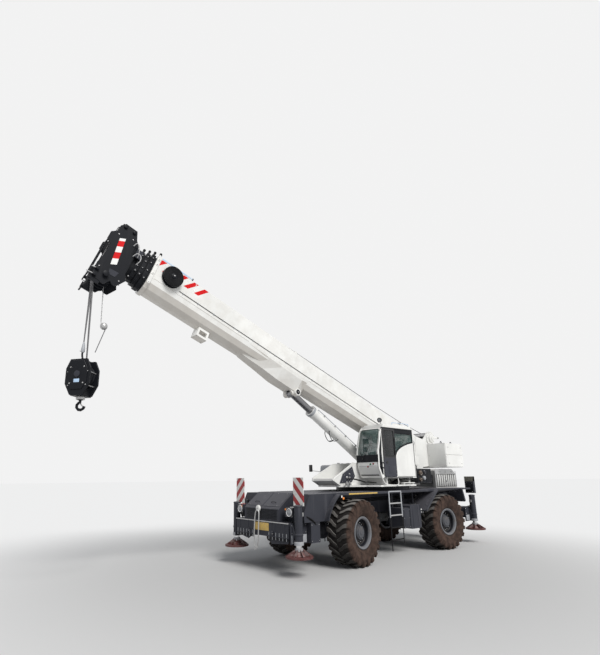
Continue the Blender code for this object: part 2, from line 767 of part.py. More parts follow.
def make_side_boxes(root, steel):
    """Fuel tank on the left and tool box on the right, hung under the deck between the axles."""
    top = DECK_TOP - DECK_PLATE - SEAT
    outer = DECK_HALF_WIDTH - 0.03
    corner = 0.07
    low = 0.81
    high = 1.58
    rounded = []
    # Corners: centre and start angle
    for x, z, start in ((-2.95, low + corner, -90), (-2.95, high - corner, 0), (-3.43, high - corner, 90), (-3.43, low + corner, 180)):
        rounded += arc((x, z), corner, start, start + 90, 3)
    for name, side in (("fuel_tank", 1), ("tool_box", -1)):
        tank = outline_solid(name, [rounded], "xz", *sorted((side * (outer - 0.67), side * outer)))
        filter_box = box("filter_box", (-2.90, -2.51), sorted((side * (outer - 0.60), side * (outer - 0.02))), (0.85, 1.49))
        pieces = [filter_box]
        hanger_y = sorted((side * 0.80, side * 0.90))
        for x in (-3.30, -2.65):
            pieces.append(box("hanger", (x - 0.04, x + 0.04), hanger_y, (1.45, top)))
        unite(tank, *pieces)
        ride(tank, root, steel["carrier_grey"])


def make_engine(root, steel):
    """The engine block on the rear deck, under a hood with louvres in its sides."""
    block = box("engine_block", (-6.95, -5.85), (-0.42, 0.42), (DECK_TOP + SEAT, ENGINE_HOOD_TOP - 0.14))
    ride(block, root, steel["engine_grey"])
    bottom = DECK_TOP + SEAT
    outline = [
        (ENGINE_HOOD_REAR, bottom),
        (ENGINE_HOOD_FRONT, bottom),
        (ENGINE_HOOD_FRONT, ENGINE_HOOD_TOP - 0.06),
        (ENGINE_HOOD_FRONT - 0.06, ENGINE_HOOD_TOP),
        (ENGINE_HOOD_REAR + 0.30, ENGINE_HOOD_TOP),
        (ENGINE_HOOD_REAR, ENGINE_HOOD_TOP - 0.22),
    ]
    hood = outline_solid("engine_hood", [outline], "xz", -ENGINE_HOOD_HALF, ENGINE_HOOD_HALF)
    inner_x = (ENGINE_HOOD_REAR + HOOD_SHEET, ENGINE_HOOD_FRONT - HOOD_SHEET)
    inner_y = (HOOD_SHEET - ENGINE_HOOD_HALF, ENGINE_HOOD_HALF - HOOD_SHEET)
    room = box("room", inner_x, inner_y, (bottom - 0.1, ENGINE_HOOD_TOP - 0.10))
    slots = []
    for side in (1, -1):
        y = sorted((side * (ENGINE_HOOD_HALF - 0.10), side * (ENGINE_HOOD_HALF + 0.05)))
        for i in range(LOUVRES):
            x = ENGINE_HOOD_FRONT - 0.16 - i * LOUVRE_PITCH
            slots.append(box("slot", (x - 0.07, x), y, (DECK_TOP + 0.10, DECK_TOP + 0.50)))
    cut(hood, room, *slots)
    ride(hood, root, steel["carrier_grey"])


def make_turntable(slew, steel):
    """Slew ring, base plate, two cheek plates up to the foot pin and back over the counterweight, and side decks."""
    ring = cylinder("slew_ring", "z", DECK_TOP + SEAT, DECK_TOP + RING_HEIGHT, (SLEW_STATION, 0.0), RING_RADIUS, 40)
    base_bottom = DECK_TOP + RING_HEIGHT + SEAT
    base_top = base_bottom + BASE_PLATE
    # The base plate's outline on the left, from the rear to the nose
    plate = [(-5.10, 0.49), (-4.15, 0.49), (-3.75, 1.05), (-3.45, 1.38), (-1.45, 1.38), (-1.30, 0.90), (-0.45, 0.46)]
    base = outline_solid("turntable", [plate + [(x, -y) for x, y in reversed(plate)]], "xy", base_bottom, base_top)
    inside = base_top - 0.01
    cheek_outline = [
        (-0.50, inside),
        (-0.18, 2.40),
        (-0.20, 2.50),
        (-1.25, 2.98),
        (-2.60, 3.02),
        (-4.05, 3.52),
        (-4.40, 4.00),
        (-4.62, 4.12),
        (-4.90, 4.12),
        (-5.60, 3.98),
        (-5.90, 4.24),
        (-6.26, 4.24),
        (-6.36, WEIGHT_TOP + 0.03),
        (WEIGHT_FRONT + SEAT, WEIGHT_TOP + 0.03),
        (WEIGHT_FRONT + SEAT, WEIGHT_BOTTOM + 0.06),
        (-5.42, WEIGHT_BOTTOM + 0.02),
        (-5.20, 2.40),
        (-5.05, inside),
    ]
    pieces = []
    for side in (1, -1):
        y = sorted((side * CHEEK_INNER, side * (CHEEK_INNER + CHEEK_PLATE)))
        pieces.append(outline_solid("cheek", [cheek_outline], "xz", *y))
    for station in (-3.20, -1.90):
        bracket_y = (CHEEK_INNER + 0.02, CAB_OUTER - 0.13)
        pieces.append(box("bracket", (station - 0.03, station + 0.03), bracket_y, (inside, CAB_BOTTOM - SEAT)))
    back_web_y = (-CHEEK_INNER - 0.02, CHEEK_INNER + 0.02)
    pieces.append(box("back_web", (-5.19, -5.15), back_web_y, (2.60, 3.20)))
    foot = LIFT_FOOT_STATION
    foot_z = base_top + LIFT_FOOT_RISE
    lug_outline = [(foot - 0.45, inside), (foot + 0.45, inside), (foot + 0.13, foot_z + 0.12), (foot - 0.13, foot_z + 0.12)]
    for side in (1, -1):
        # Each lug stands clear of the foot's eye, which swings a little between them, and its stub reaches the cheek
        lug_inner = FOOT_EYE_HALF + RUN
        y = sorted((side * lug_inner, side * (lug_inner + 0.04)))
        pieces.append(outline_solid("foot_lug", [lug_outline], "xz", *y))
        y = sorted((side * (lug_inner + 0.01), side * (CHEEK_INNER + 0.01)))
        pieces.append(cylinder("foot_pin", "y", *y, (foot, foot_z), 0.08, 14))
    unite(base, *pieces)
    holes = [cylinder("pin_bore", "y", -0.60, 0.60, (PIVOT_STATION, PIVOT_HEIGHT), 0.096, 16)]
    cut(base, *holes)
    root = slew.parent
    ride(ring, root, steel["black_steel"])
    ride_in_place(base, slew, steel["crane_white"])
    return foot_z


def make_counterweight(slew, steel):
    outline = [
        (WEIGHT_REAR, WEIGHT_BOTTOM + 0.10),
        (WEIGHT_REAR + 0.14, WEIGHT_BOTTOM),
        (WEIGHT_FRONT, WEIGHT_BOTTOM),
        (WEIGHT_FRONT, WEIGHT_TOP),
        (WEIGHT_REAR + 0.06, WEIGHT_TOP),
        (WEIGHT_REAR, WEIGHT_TOP - 0.06),
    ]
    weight = outline_solid("counterweight", [outline], "xz", -WEIGHT_HALF_WIDTH, WEIGHT_HALF_WIDTH)
    ride_in_place(weight, slew, steel["crane_white"])
    cooler = box("oil_cooler", (-5.22, -4.30), (CHEEK_INNER + CHEEK_PLATE + SEAT, 0.92), (2.28, 2.80))
    ride_in_place(cooler, slew, steel["black_steel"])
    plate = DECK_TOP + RING_HEIGHT + BASE_PLATE + 2 * SEAT
    outline = [(-3.35, plate), (-1.52, plate), (-1.46, plate + 0.09), (-1.56, 2.92), (-1.64, 2.96), (-3.35, 2.96)]
    locker = outline_solid("right_locker", [outline], "xz", -1.40, -CHEEK_INNER - CHEEK_PLATE - 0.04)
    ride_in_place(locker, slew, steel["crane_white"])


def make_winch(slew, steel):
    axle = empty("winch_axle", (WINCH_STATION - SLEW_STATION, 0.0, WINCH_HEIGHT), slew)
    edge = CHEEK_INNER - SEAT
    profile = [
        (0.0, edge),
        (DRUM_FLANGE_RADIUS, edge),
        (DRUM_FLANGE_RADIUS, edge - 0.03),
        (DRUM_RADIUS, edge - 0.04),
        (DRUM_RADIUS, 0.04 - edge),
        (DRUM_FLANGE_RADIUS, 0.03 - edge),
        (DRUM_FLANGE_RADIUS, -edge),
        (0.0, -edge),
    ]
    drum = turned("winch_drum", profile, "y", 20)
    ride(drum, axle, steel["crane_white"])


def make_cab(slew, steel):
    """A hollow shell with window openings, a sliding door on its left side and the operator's seat."""
    def side_outline(inset):
        return [
            (CAB_REAR + inset, CAB_BOTTOM + inset),
            (CAB_FRONT - 0.16 - inset, CAB_BOTTOM + inset),
            (CAB_FRONT - inset, CAB_BOTTOM + 0.34),
            (CAB_FRONT - 0.02 - inset, CAB_BOTTOM + 0.90),
            (CAB_FRONT - CAB_LEAN - inset, CAB_TOP - 0.20),
            (CAB_FRONT - CAB_LEAN - 0.16 - inset / 2, CAB_TOP - inset),
            (CAB_REAR + 0.10 + inset / 2, CAB_TOP - inset),
            (CAB_REAR + inset, CAB_TOP - 0.12),
        ]

    cab = outline_solid("cab_shell", [side_outline(0.0)], "xz", CAB_INNER, CAB_OUTER)
    room = outline_solid("room", [side_outline(CAB_WALL)], "xz", CAB_INNER + CAB_WALL, CAB_OUTER - CAB_WALL)
    right_wall = (CAB_INNER - 0.1, CAB_INNER + 0.1)
    left_wall = (CAB_OUTER - 0.1, CAB_OUTER + 0.1)
    # window: x, y, z
    windows = (
        ((CAB_FRONT - 0.42, CAB_FRONT + 0.2), (CAB_INNER + 0.06, CAB_OUTER - 0.06), (CAB_BOTTOM + 0.16, CAB_TOP - 0.14)),
        ((CAB_REAR - 0.1, CAB_REAR + 0.1), (CAB_INNER + 0.10, CAB_OUTER - 0.10), (3.30, CAB_TOP - 0.22)),
        ((CAB_REAR + 0.25, DOOR_FRONT), right_wall, (3.05, CAB_TOP - 0.16)),
        ((DOOR_REAR + 0.04, DOOR_FRONT - 0.04), left_wall, (CAB_BOTTOM + 0.12, CAB_TOP - 0.16)),
        ((CAB_REAR + 0.24, DOOR_REAR - 0.06), left_wall, (3.42, CAB_TOP - 0.20)),
        ((-2.35, -1.85), (CAB_INNER + 0.16, CAB_OUTER - 0.16), (CAB_TOP - 0.1, CAB_TOP + 0.1)),
    )
    cut(cab, room, *[box("window", *window) for window in windows])
    ride_in_place(cab, slew, steel["crane_white"])

    slide = empty("door_slide", (DOOR_REAR - SLEW_STATION, CAB_OUTER, CAB_BOTTOM), slew)
    inner = CAB_OUTER + SEAT
    door_z = (CAB_BOTTOM + 0.04, CAB_TOP - 0.10)
    door = box("cab_door", (DOOR_REAR, DOOR_FRONT), (inner, inner + DOOR_THICKNESS), door_z)
    pane_y = (CAB_OUTER - 0.1, CAB_OUTER + 0.2)
    pane = box("pane", (DOOR_REAR + 0.07, DOOR_FRONT - 0.06), pane_y, (3.16, CAB_TOP - 0.18))
    cut(door, pane)
    ride_in_place(door, slide, steel["carrier_grey"])

    floor = CAB_BOTTOM + CAB_WALL + SEAT
    seat = box("operator_seat", (-2.98, -2.68), (0.83, 1.13), (floor, floor + 0.30))
    cushion = box("cushion", (-3.10, -2.58), (0.74, 1.22), (floor + 0.28, floor + 0.44))
    back_outline = [(-3.10, floor + 0.36), (-2.98, floor + 0.36), (-3.14, floor + 1.14), (-3.25, floor + 1.14)]
    back = outline_solid("back", [back_outline], "xz", 0.76, 1.20)
    unite(seat, cushion, back)
    ride_in_place(seat, slew, steel["seat_cloth"])


def boom_outline(half, top, bottom):
    """A U section: flat top with clipped corners, straight sides and a rounded bottom."""
    clip = 0.03
    points = [(half - clip, top), (-half + clip, top), (-half, top - clip), (-half, CREASE_BELOW_AXIS)]
    depth = CREASE_BELOW_AXIS - bottom
    for degrees in (202, 228, 256, 284, 312, 338):
        angle = math.radians(degrees)
        reach = abs(math.sin(angle)) / math.sin(math.radians(76))
        points.append((half * math.cos(angle), CREASE_BELOW_AXIS - depth * min(1.0, reach)))
    return points + [(half, CREASE_BELOW_AXIS), (half, top - clip)]


def section_tube(name, number, start, end):
    half, top, bottom = SECTION_OUTLINES[number]
    wall = SECTION_WALL
    loops = [boom_outline(half, top, bottom), boom_outline(half - wall, top - wall, bottom + wall)]
    return outline_solid(name, loops, "yz", start, end)


def section_collar(number, start):
    """The frame at a section's front end, with the pads on which the next section slides."""
    half, top, bottom = SECTION_OUTLINES[number]
    next_half, next_top, next_bottom = SECTION_OUTLINES[number + 1]
    outer = boom_outline(half + COLLAR_RIM, top + COLLAR_RIM, bottom - COLLAR_RIM)
    inner = boom_outline(next_half + RUN, next_top + RUN, next_bottom - SEAT)
    collar = outline_solid("collar", [outer, inner], "yz", start, start + COLLAR_LENGTH)
    # The screws that set the upper wear pads
    screws = []
    for side in (1, -1):
        place = (start + COLLAR_LENGTH / 2, side * (half - 0.06))
        screws.append(cylinder("screw", "z", top, top + SCREW_HEIGHT, place, 0.026, 8))
    return unite(collar, *screws)


def sheave_row(name, radius, spread, count, axle_half, steps):
    """Grooved sheaves on one axle, turned as one shape about Y."""
    profile = [(0.0, axle_half), (0.05, axle_half)]
    for i in range(count):
        middle = spread - 2 * spread * i / (count - 1)
        for dr, dy in (
            (None, SHEAVE_HALF_WIDTH),
            (0.0, SHEAVE_HALF_WIDTH),
            (-GROOVE_DEPTH, 0.0),
            (0.0, -SHEAVE_HALF_WIDTH),
            (None, -SHEAVE_HALF_WIDTH),
        ):
            profile.append((0.05 if dr is None else radius + dr, middle + dy))
    profile += [(0.05, -axle_half), (0.0, -axle_half)]
    return turned(name, profile, "y", steps)


def make_boom_base(boom, steel):
    base = section_tube("boom_base", 0, BOOM_TAIL, BASE_FRONT)
    pieces = [section_collar(0, BASE_FRONT - COLLAR_LENGTH / 2)]
    half, top, bottom = SECTION_OUTLINES[0]
    wall = SECTION_WALL
    skin = wall / 2
    trapezoids = []
    for station, top_half, top_level, low_half, low_level in BELLY_SECTIONS:
        corners = [(top_half, top_level), (low_half, low_level), (-low_half, low_level), (-top_half, top_level)]
        trapezoids.append((station, corners))
    belly = loft("belly", trapezoids)
    low = LIFT_PIN_W - 0.11
    ear_outline = [(6.20, -0.50), (5.76, -0.50), (5.82, low + 0.08), (5.90, low), (6.05, low), (6.20, low + 0.10)]
    gussets = []
    for side in (1, -1):
        ear_inner = EYE_HALF_WIDTH + SEAT
        facets = []
        for station, inner_level, lower, upper in GUSSET_SECTIONS:
            corners = [(ear_inner + 0.02, -0.50), (ear_inner + 0.02, inner_level), lower, upper]
            facets.append((station, [(side * y, w) for y, w in corners]))
        gussets.append(loft("gusset", facets))
        y = sorted((side * ear_inner, side * (ear_inner + EAR_PLATE)))
        gussets.append(outline_solid("ear", [ear_outline], "xz", *y))
        y = sorted((side * (ear_inner + 0.01), side * 0.30))
        gussets.append(cylinder("pin_boss", "y", *y, (LIFT_PIN_U, LIFT_PIN_W), 0.11, 14))
        # Foot pin: a boss against the turntable's cheek, and the pin through it
        y = sorted((side * (half - skin), side * (CHEEK_INNER - SEAT)))
        pieces.append(cylinder("boss", "y", *y, (0.0, 0.0), 0.17, 16))
        y = sorted((side * (half - skin), side * (CHEEK_INNER + CHEEK_PLATE + 0.05)))
        pieces.append(cylinder("foot_pin", "y", *y, (0.0, 0.0), 0.09, 16))
    unite(belly, *gussets)
    # The belly is welded on from outside, so it leaves the boom's inside free
    cut(belly, outline_solid("inside", [boom_outline(half - skin, top - skin, bottom + skin)], "yz", 5.0, 9.0))
    bracket = box("tip_bracket", (9.50, 9.86), (-0.16, 0.16), (-0.80, bottom + 0.02))
    bracket_hole = box("bracket_hole", (9.56, 9.80), (-0.3, 0.3), (-0.74, bottom - 0.05))
    cut(bracket, bracket_hole)
    unite(base, *pieces, belly, bracket)
    ride(base, boom, steel["crane_white"])
    reel_profile = [(0.0, 0.16), (0.27, 0.16), (0.29, 0.14), (0.29, 0.11), (0.16, 0.10), (0.16, 0.05)]
    reel_profile += [(0.29, 0.04), (0.29, 0.0), (0.0, 0.0)]
    reel = turned("cable_reel", reel_profile, "y", 18)
    shifted(reel, 11.19, half + SEAT, 0.16)
    ride(reel, boom, steel["black_steel"])


def make_sections(boom, steel):
    """Sections two to five slide out of each other, each on an empty at its own tail."""
    parent = boom
    before = 0.0
    for number in range(1, len(SECTION_OUTLINES)):
        tail = SECTION_TAIL + 0.10 * number
        front = BASE_FRONT + COLLAR_LENGTH / 2 + number * COLLAR_PITCH
        name = "tele_%d" % (number + 1)
        slide = empty("slide_" + name, (tail - before, 0.0, 0.0), parent)
        tube = section_tube("boom_section_%d" % (number + 1), number, 0.0, front - tail)
        if number + 1 < len(SECTION_OUTLINES):
            collar = section_collar(number, front - tail - COLLAR_LENGTH + 0.02)
            unite(tube, collar)
        ride(tube, slide, steel["black_steel"])
        parent = slide
        before = tail
    return parent, before


def make_head(last_slide, tail, steel):
    """The head on the last section: side plates, lower and upper sheaves and guard bars."""
    half, top, bottom = SECTION_OUTLINES[-1]
    front = BASE_FRONT + COLLAR_LENGTH / 2 + (len(SECTION_OUTLINES) - 1) * COLLAR_PITCH
    start = front + SEAT
    plate_outline = [
        (start + 0.02, top + 0.06),
        (start + 0.02, bottom - 0.10),
        (12.20, -0.68),
        (12.34, -0.94),
        (12.43, -0.95),
        (12.52, -0.90),
        (12.62, -1.06),
        (12.86, -1.04),
        (12.97, -0.86),
        (12.98, -0.62),
        (12.92, -0.30),
        (12.92, 0.02),
        (13.05, 0.12),
        (13.05, 0.34),
        (12.92, 0.48),
        (12.92, 0.66),
        (12.82, 0.80),
        (12.50, 0.80),
        (12.40, 0.55),
    ]
    pieces = []
    for side in (1, -1):
        y = sorted((side * 0.30, side * 0.33))
        pieces.append(outline_solid("head_plate", [plate_outline], "xz", *y))
    # sheave row: u, w, radius, half width, how many, half length of the axle, steps
    rows = (
        (LOWER_SHEAVES_U, LOWER_SHEAVES_W, HEAD_SHEAVE_RADIUS, HEAD_SHEAVE_SPREAD, HEAD_SHEAVES, 0.40, 16),
        (12.80, 0.70, 0.12, 0.10, 2, 0.36, 10),
        (12.55, 0.70, 0.12, 0.10, 2, 0.36, 10),
    )
    for u, w, radius, spread, count, axle_half, steps in rows:
        pieces.append(shifted(sheave_row("sheaves", radius, spread, count, axle_half, steps), u, 0.0, w))
    # Rope guards across the head, and the two tubes that stand before it
    # bar: start, end, radius
    bars = (
        ((12.96, -0.56, -1.10), (12.96, 0.34, -1.10), 0.022),
        ((13.02, -0.46, -0.84), (13.02, 0.32, -0.84), 0.018),
        ((13.01, -0.32, 0.22), (13.01, 0.32, 0.22), 0.022),
        ((13.02, 0.20, 0.23), (13.02, 0.20, -0.85), 0.018),
        ((13.02, -0.20, 0.23), (13.02, -0.20, -0.85), 0.018),
    )
    for first, last, radius in bars:
        pieces.append(bar("guard", first, last, radius, 6))
    for side in (1, -1):
        y = sorted((side * 0.28, side * 0.32))
        pieces.append(box("guard_arm", (12.72, 13.0), y, (-1.14, -0.98)))
        pieces.append(box("guard_foot", (12.90, 13.04), y, (-0.87, -0.80)))
    head = box("boom_head", (start, 12.55), (-0.31, 0.31), (bottom - 0.04, top + 0.04))
    unite(head, *pieces)
    shifted(head, -tail, 0.0, 0.0)
    ride(head, last_slide, steel["black_steel"])


def make_hook(last_slide, tail, steel):
    """Rope falls, block and hook, hanging plumb from the lower sheaves' axle."""
    swing = empty("hook_swing", (LOWER_SHEAVES_U - tail, 0.0, LOWER_SHEAVES_W), last_slide, (0.0, BOOM_ANGLE, 0.0))
    # A rope lies between the flanks of its groove, not on the groove's bottom
    flank = math.atan2(SHEAVE_HALF_WIDTH, GROOVE_DEPTH)
    front = HEAD_SHEAVE_RADIUS - GROOVE_DEPTH + ROPE_RADIUS / math.sin(flank) + SEAT
    spread = HEAD_SHEAVE_SPREAD / (HEAD_SHEAVES - 1)
    falls = []
    for y in (-spread, spread):
        falls.append(cylinder("fall", "z", BLOCK_TOP + SEAT, 0.0, (front, y), ROPE_RADIUS, 8))
    tie = bar("tie", (front, -spread, BLOCK_TOP + 0.06), (front, spread, BLOCK_TOP + 0.06), 0.02)
    ropes = unite(falls[0], falls[1], tie)
    ropes.name = "rope_falls"
    ride(ropes, swing, steel["bare_steel"])
    w = BLOCK_WIDTH / 2
    h = BLOCK_HEIGHT
    right_side = [(w - 0.10, 0.0), (w, -0.22), (w, -h + 0.26), (w - 0.14, -h)]
    plate = right_side + [(-x, z) for x, z in reversed(right_side)]
    pieces = []
    for side in (1, -1):
        y = sorted((side * (BLOCK_HALF_THICKNESS - 0.05), side * BLOCK_HALF_THICKNESS))
        pieces.append(outline_solid("block_plate", [plate], "xz", *y))
    pieces.append(shifted(sheave_row("sheaves", 0.25, 0.09, 3, BLOCK_HALF_THICKNESS + 0.03, 14), 0.0, 0.0, -0.36))
    pieces.append(cylinder("shank", "z", -h - 0.10, -h + 0.12, (0.0, 0.0), 0.06, 16))
    trunnion = box("hook_block", (-0.14, 0.14), (-BLOCK_HALF_THICKNESS, BLOCK_HALF_THICKNESS), (-h - 0.02, -h + 0.16))
    yoke = box("yoke", (-0.10, 0.10), (-BLOCK_HALF_THICKNESS, BLOCK_HALF_THICKNESS), (-0.09, 0.0))
    block = unite(trunnion, yoke, *pieces)
    moved(block, Matrix.Translation((front, 0.0, BLOCK_TOP)) @ Matrix.Rotation(BLOCK_TURN, 4, "Z"))
    ride(block, swing, steel["black_steel"])
    points = [(0.0, -h - 0.10 - SEAT), (0.0, -h - 0.16)]
    for degrees in (60, 20, -20, -60, -100, -140, -175):
        angle = math.radians(degrees)
        points.append((0.10 * math.cos(angle) - 0.02, -h - 0.24 + 0.09 * math.sin(angle)))
    curve = bpy.data.curves.new("hook", "CURVE")
    curve.dimensions = "3D"
    curve.bevel_depth = 0.035
    curve.bevel_resolution = 1
    curve.use_fill_caps = True
    spline = curve.splines.new("POLY")
    spline.points.add(len(points) - 1)
    for point, (x, z) in zip(spline.points, points):
        point.co = (x, 0.0, z, 1.0)
    guide = bpy.data.objects.new("hook_guide", curve)
    bpy.data.collections["guides"].objects.link(guide)
    bpy.context.view_layer.update()
    mesh = bpy.data.meshes.new_from_object(guide.evaluated_get(bpy.context.evaluated_depsgraph_get()))
    bpy.data.objects.remove(guide, do_unlink=True)
    bm = bmesh.new()
    bm.from_mesh(mesh)
    bmesh.ops.remove_doubles(bm, verts=bm.verts, dist=0.0001)
    hook = from_bmesh("hook", bm)
    moved(hook, Matrix.Translation((front, 0.0, BLOCK_TOP)) @ Matrix.Rotation(BLOCK_TURN, 4, "Z"))
    ride(hook, swing, steel["black_steel"])


def make_lift_cylinder(boom, foot_z, steel):
    """Rod on the boom's pin and barrel down to the turntable's foot lugs, both drawn along their own +X."""
    c = math.cos(BOOM_ANGLE)
    s = math.sin(BOOM_ANGLE)
    pin_x = PIVOT_STATION + LIFT_PIN_U * c - LIFT_PIN_W * s
    pin_z = PIVOT_HEIGHT + LIFT_PIN_U * s + LIFT_PIN_W * c
    run_x = pin_x - LIFT_FOOT_STATION
    run_z = pin_z - foot_z
    length = math.hypot(run_x, run_z)
    angle = math.atan2(run_z, run_x) - BOOM_ANGLE
    pin = empty("lift_pin", (LIFT_PIN_U, 0.0, LIFT_PIN_W), boom, (0.0, -angle, 0.0))
    rod = cylinder("lift_rod", "x", -ROD_REACH, -0.05, (0.0, 0.0), LIFT_ROD_RADIUS, 24)
    rod_eye = cylinder("rod_eye", "y", -EYE_HALF_WIDTH, EYE_HALF_WIDTH, (0.0, 0.0), EYE_RADIUS, 20)
    unite(rod, rod_eye)
    ride(rod, pin, steel["bare_steel"])
    foot = empty("lift_barrel_slide", (-length, 0.0, 0.0), pin)
    bore = LIFT_ROD_RADIUS + SEAT
    profile = [
        (0.0, BARREL_START),
        (BARREL_RADIUS, BARREL_START),
        (BARREL_RADIUS, BARREL_LENGTH - GLAND_LENGTH),
        (GLAND_RADIUS, BARREL_LENGTH - GLAND_LENGTH),
        (GLAND_RADIUS, BARREL_LENGTH),
        (bore, BARREL_LENGTH),
        (bore, BORE_START),
        (0.0, BORE_START),
    ]
    barrel = turned("lift_barrel", profile, "x", 24)
    eye = cylinder("eye", "y", -FOOT_EYE_HALF, FOOT_EYE_HALF, (0.0, 0.0), FOOT_EYE_RADIUS, 18)
    unite(barrel, eye)
    ride(barrel, foot, steel["crane_white"])


def settle(root):
    """Moves the machine so that the middle of its length is at X = 0 and its lowest lugs are at Z = 0."""
    bpy.context.view_layer.update()
    meshes = [obj for obj in bpy.data.collections[COLLECTION].objects if obj.type == "MESH"]
    points = [obj.matrix_world @ vert.co for obj in meshes for vert in obj.data.vertices]
    stations = [point.x for point in points]
    root.location.x = -(min(stations) + max(stations)) / 2
    root.location.z = -min(point.z for point in points)


def main():
    start_scene()
    steel = make_materials()
    root = empty("crane", (0.0, 0.0, 0.0))
    make_wheels(root, steel)
    make_frame(root, steel)
    make_body(root, steel)
    make_boards(root, steel)
    make_outriggers(root, steel)
    make_ladder("ladder_left", 1, root, steel)
    make_ladder("ladder_right", -1, root, steel)
    make_side_boxes(root, steel)
    make_engine(root, steel)
    slew = empty("slew_axis", (SLEW_STATION, 0.0, 0.0), root)
    foot_z = make_turntable(slew, steel)
    make_counterweight(slew, steel)
    make_winch(slew, steel)
    make_cab(slew, steel)
    boom = empty("boom_pivot", (PIVOT_STATION - SLEW_STATION, 0.0, PIVOT_HEIGHT), slew, (0.0, -BOOM_ANGLE, 0.0))
    make_boom_base(boom, steel)
    make_lift_cylinder(boom, foot_z, steel)
    last_slide, tail = make_sections(boom, steel)
    make_head(last_slide, tail, steel)
    make_hook(last_slide, tail, steel)
    settle(root)


main()
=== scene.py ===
"""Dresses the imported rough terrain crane: paint, glass, tyres, hoses, lamps and fittings on its frame.

Stations along X are measured from the front axle, +X forward, +Y left, +Z up, as in the part's source.
"""

import json
import math

import bmesh
import bpy
from bpy.props import FloatProperty, FloatVectorProperty, IntProperty, PointerProperty
from mathutils import Matrix, Vector


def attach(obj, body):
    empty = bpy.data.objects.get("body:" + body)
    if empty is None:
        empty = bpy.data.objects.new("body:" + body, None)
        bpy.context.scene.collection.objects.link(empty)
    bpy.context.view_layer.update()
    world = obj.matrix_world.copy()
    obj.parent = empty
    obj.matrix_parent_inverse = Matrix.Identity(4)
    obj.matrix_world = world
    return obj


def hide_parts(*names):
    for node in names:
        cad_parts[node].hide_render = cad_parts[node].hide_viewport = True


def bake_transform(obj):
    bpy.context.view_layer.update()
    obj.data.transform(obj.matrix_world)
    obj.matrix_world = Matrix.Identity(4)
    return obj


bl_info = {
    "name": "Rough Terrain Crane",
    "version": (1, 0, 0),
    "blender": (4, 5, 0),
    "location": "View3D > Sidebar > Crane",
    "description": "Paints and fits out a rough terrain crane around its fixed frame",
    "category": "Object",
}

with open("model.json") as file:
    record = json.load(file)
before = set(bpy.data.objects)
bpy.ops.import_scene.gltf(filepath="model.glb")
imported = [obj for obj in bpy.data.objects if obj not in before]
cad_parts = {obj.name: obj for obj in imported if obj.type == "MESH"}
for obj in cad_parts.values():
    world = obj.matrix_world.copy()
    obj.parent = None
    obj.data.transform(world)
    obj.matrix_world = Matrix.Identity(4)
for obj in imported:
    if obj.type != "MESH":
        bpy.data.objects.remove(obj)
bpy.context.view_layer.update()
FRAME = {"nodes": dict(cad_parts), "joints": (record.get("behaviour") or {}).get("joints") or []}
NODES = FRAME["nodes"]


def joint_of(name):
    return next(joint for joint in FRAME["joints"] if joint["name"] == name)


# Stations of the source's main axes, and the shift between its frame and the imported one
SLEW_STATION = -2.75
SHIFT = Vector(joint_of("slew")["pos_m"]) - Vector((SLEW_STATION, 0.0, 0.0))
BOOM_ANGLE = math.radians(20.0)
MACHINE = Matrix.Translation(SHIFT)
BOOM = Matrix.Translation(Vector(joint_of("boom_luff")["pos_m"])) @ Matrix.Rotation(-BOOM_ANGLE, 4, "Y")
HANG = Matrix.Translation(Vector(joint_of("hook_swing")["pos_m"]))
BLOCK_TURN = math.radians(-50.0)
CORNERS = ("front_left", "front_right", "rear_left", "rear_right")


def hub_frame(corner):
    """A wheel's own frame: Y along its axle, outwards on the left."""
    joint = joint_of("wheel_turn_" + corner)
    x, y, _ = joint["axis"]
    return Matrix.Translation(Vector(joint["pos_m"])) @ Matrix.Rotation(math.atan2(-x, y), 4, "Z")


class Wire:
    """One output of a material's nodes; arithmetic on it adds the Math nodes."""

    def __init__(self, finish, socket):
        self.finish = finish
        self.socket = socket

    def _math(self, operation, *values):
        return self.finish.node("ShaderNodeMath", {"operation": operation}, dict(enumerate(values)))

    def __add__(self, other):
        return self._math("ADD", self, other)

    def __radd__(self, other):
        return self._math("ADD", other, self)

    def __sub__(self, other):
        return self._math("SUBTRACT", self, other)

    def __rsub__(self, other):
        return self._math("SUBTRACT", other, self)

    def __mul__(self, other):
        return self._math("MULTIPLY", self, other)

    def __rmul__(self, other):
        return self._math("MULTIPLY", other, self)

    def __truediv__(self, other):
        return self._math("DIVIDE", self, other)

    def __pow__(self, other):
        return self._math("POWER", self, other)

    def __gt__(self, other):
        return self._math("GREATER_THAN", self, other)

    def __lt__(self, other):
        return self._math("LESS_THAN", self, other)

    def __mod__(self, other):
        return self._math("FLOORED_MODULO", self, other)

    def __abs__(self):
        return self._math("ABSOLUTE", self)

    def clamped(self):
        return self.finish.node("ShaderNodeClamp", {}, {0: self})

    def ramp(self, low, high, to_low=0.0, to_high=1.0):
        """The value carried smoothly from one range to another."""
        return self.finish.node(
            "ShaderNodeMapRange",
            {"interpolation_type": "SMOOTHSTEP"},
            {0: self, 1: low, 2: high, 3: to_low, 4: to_high},
        )


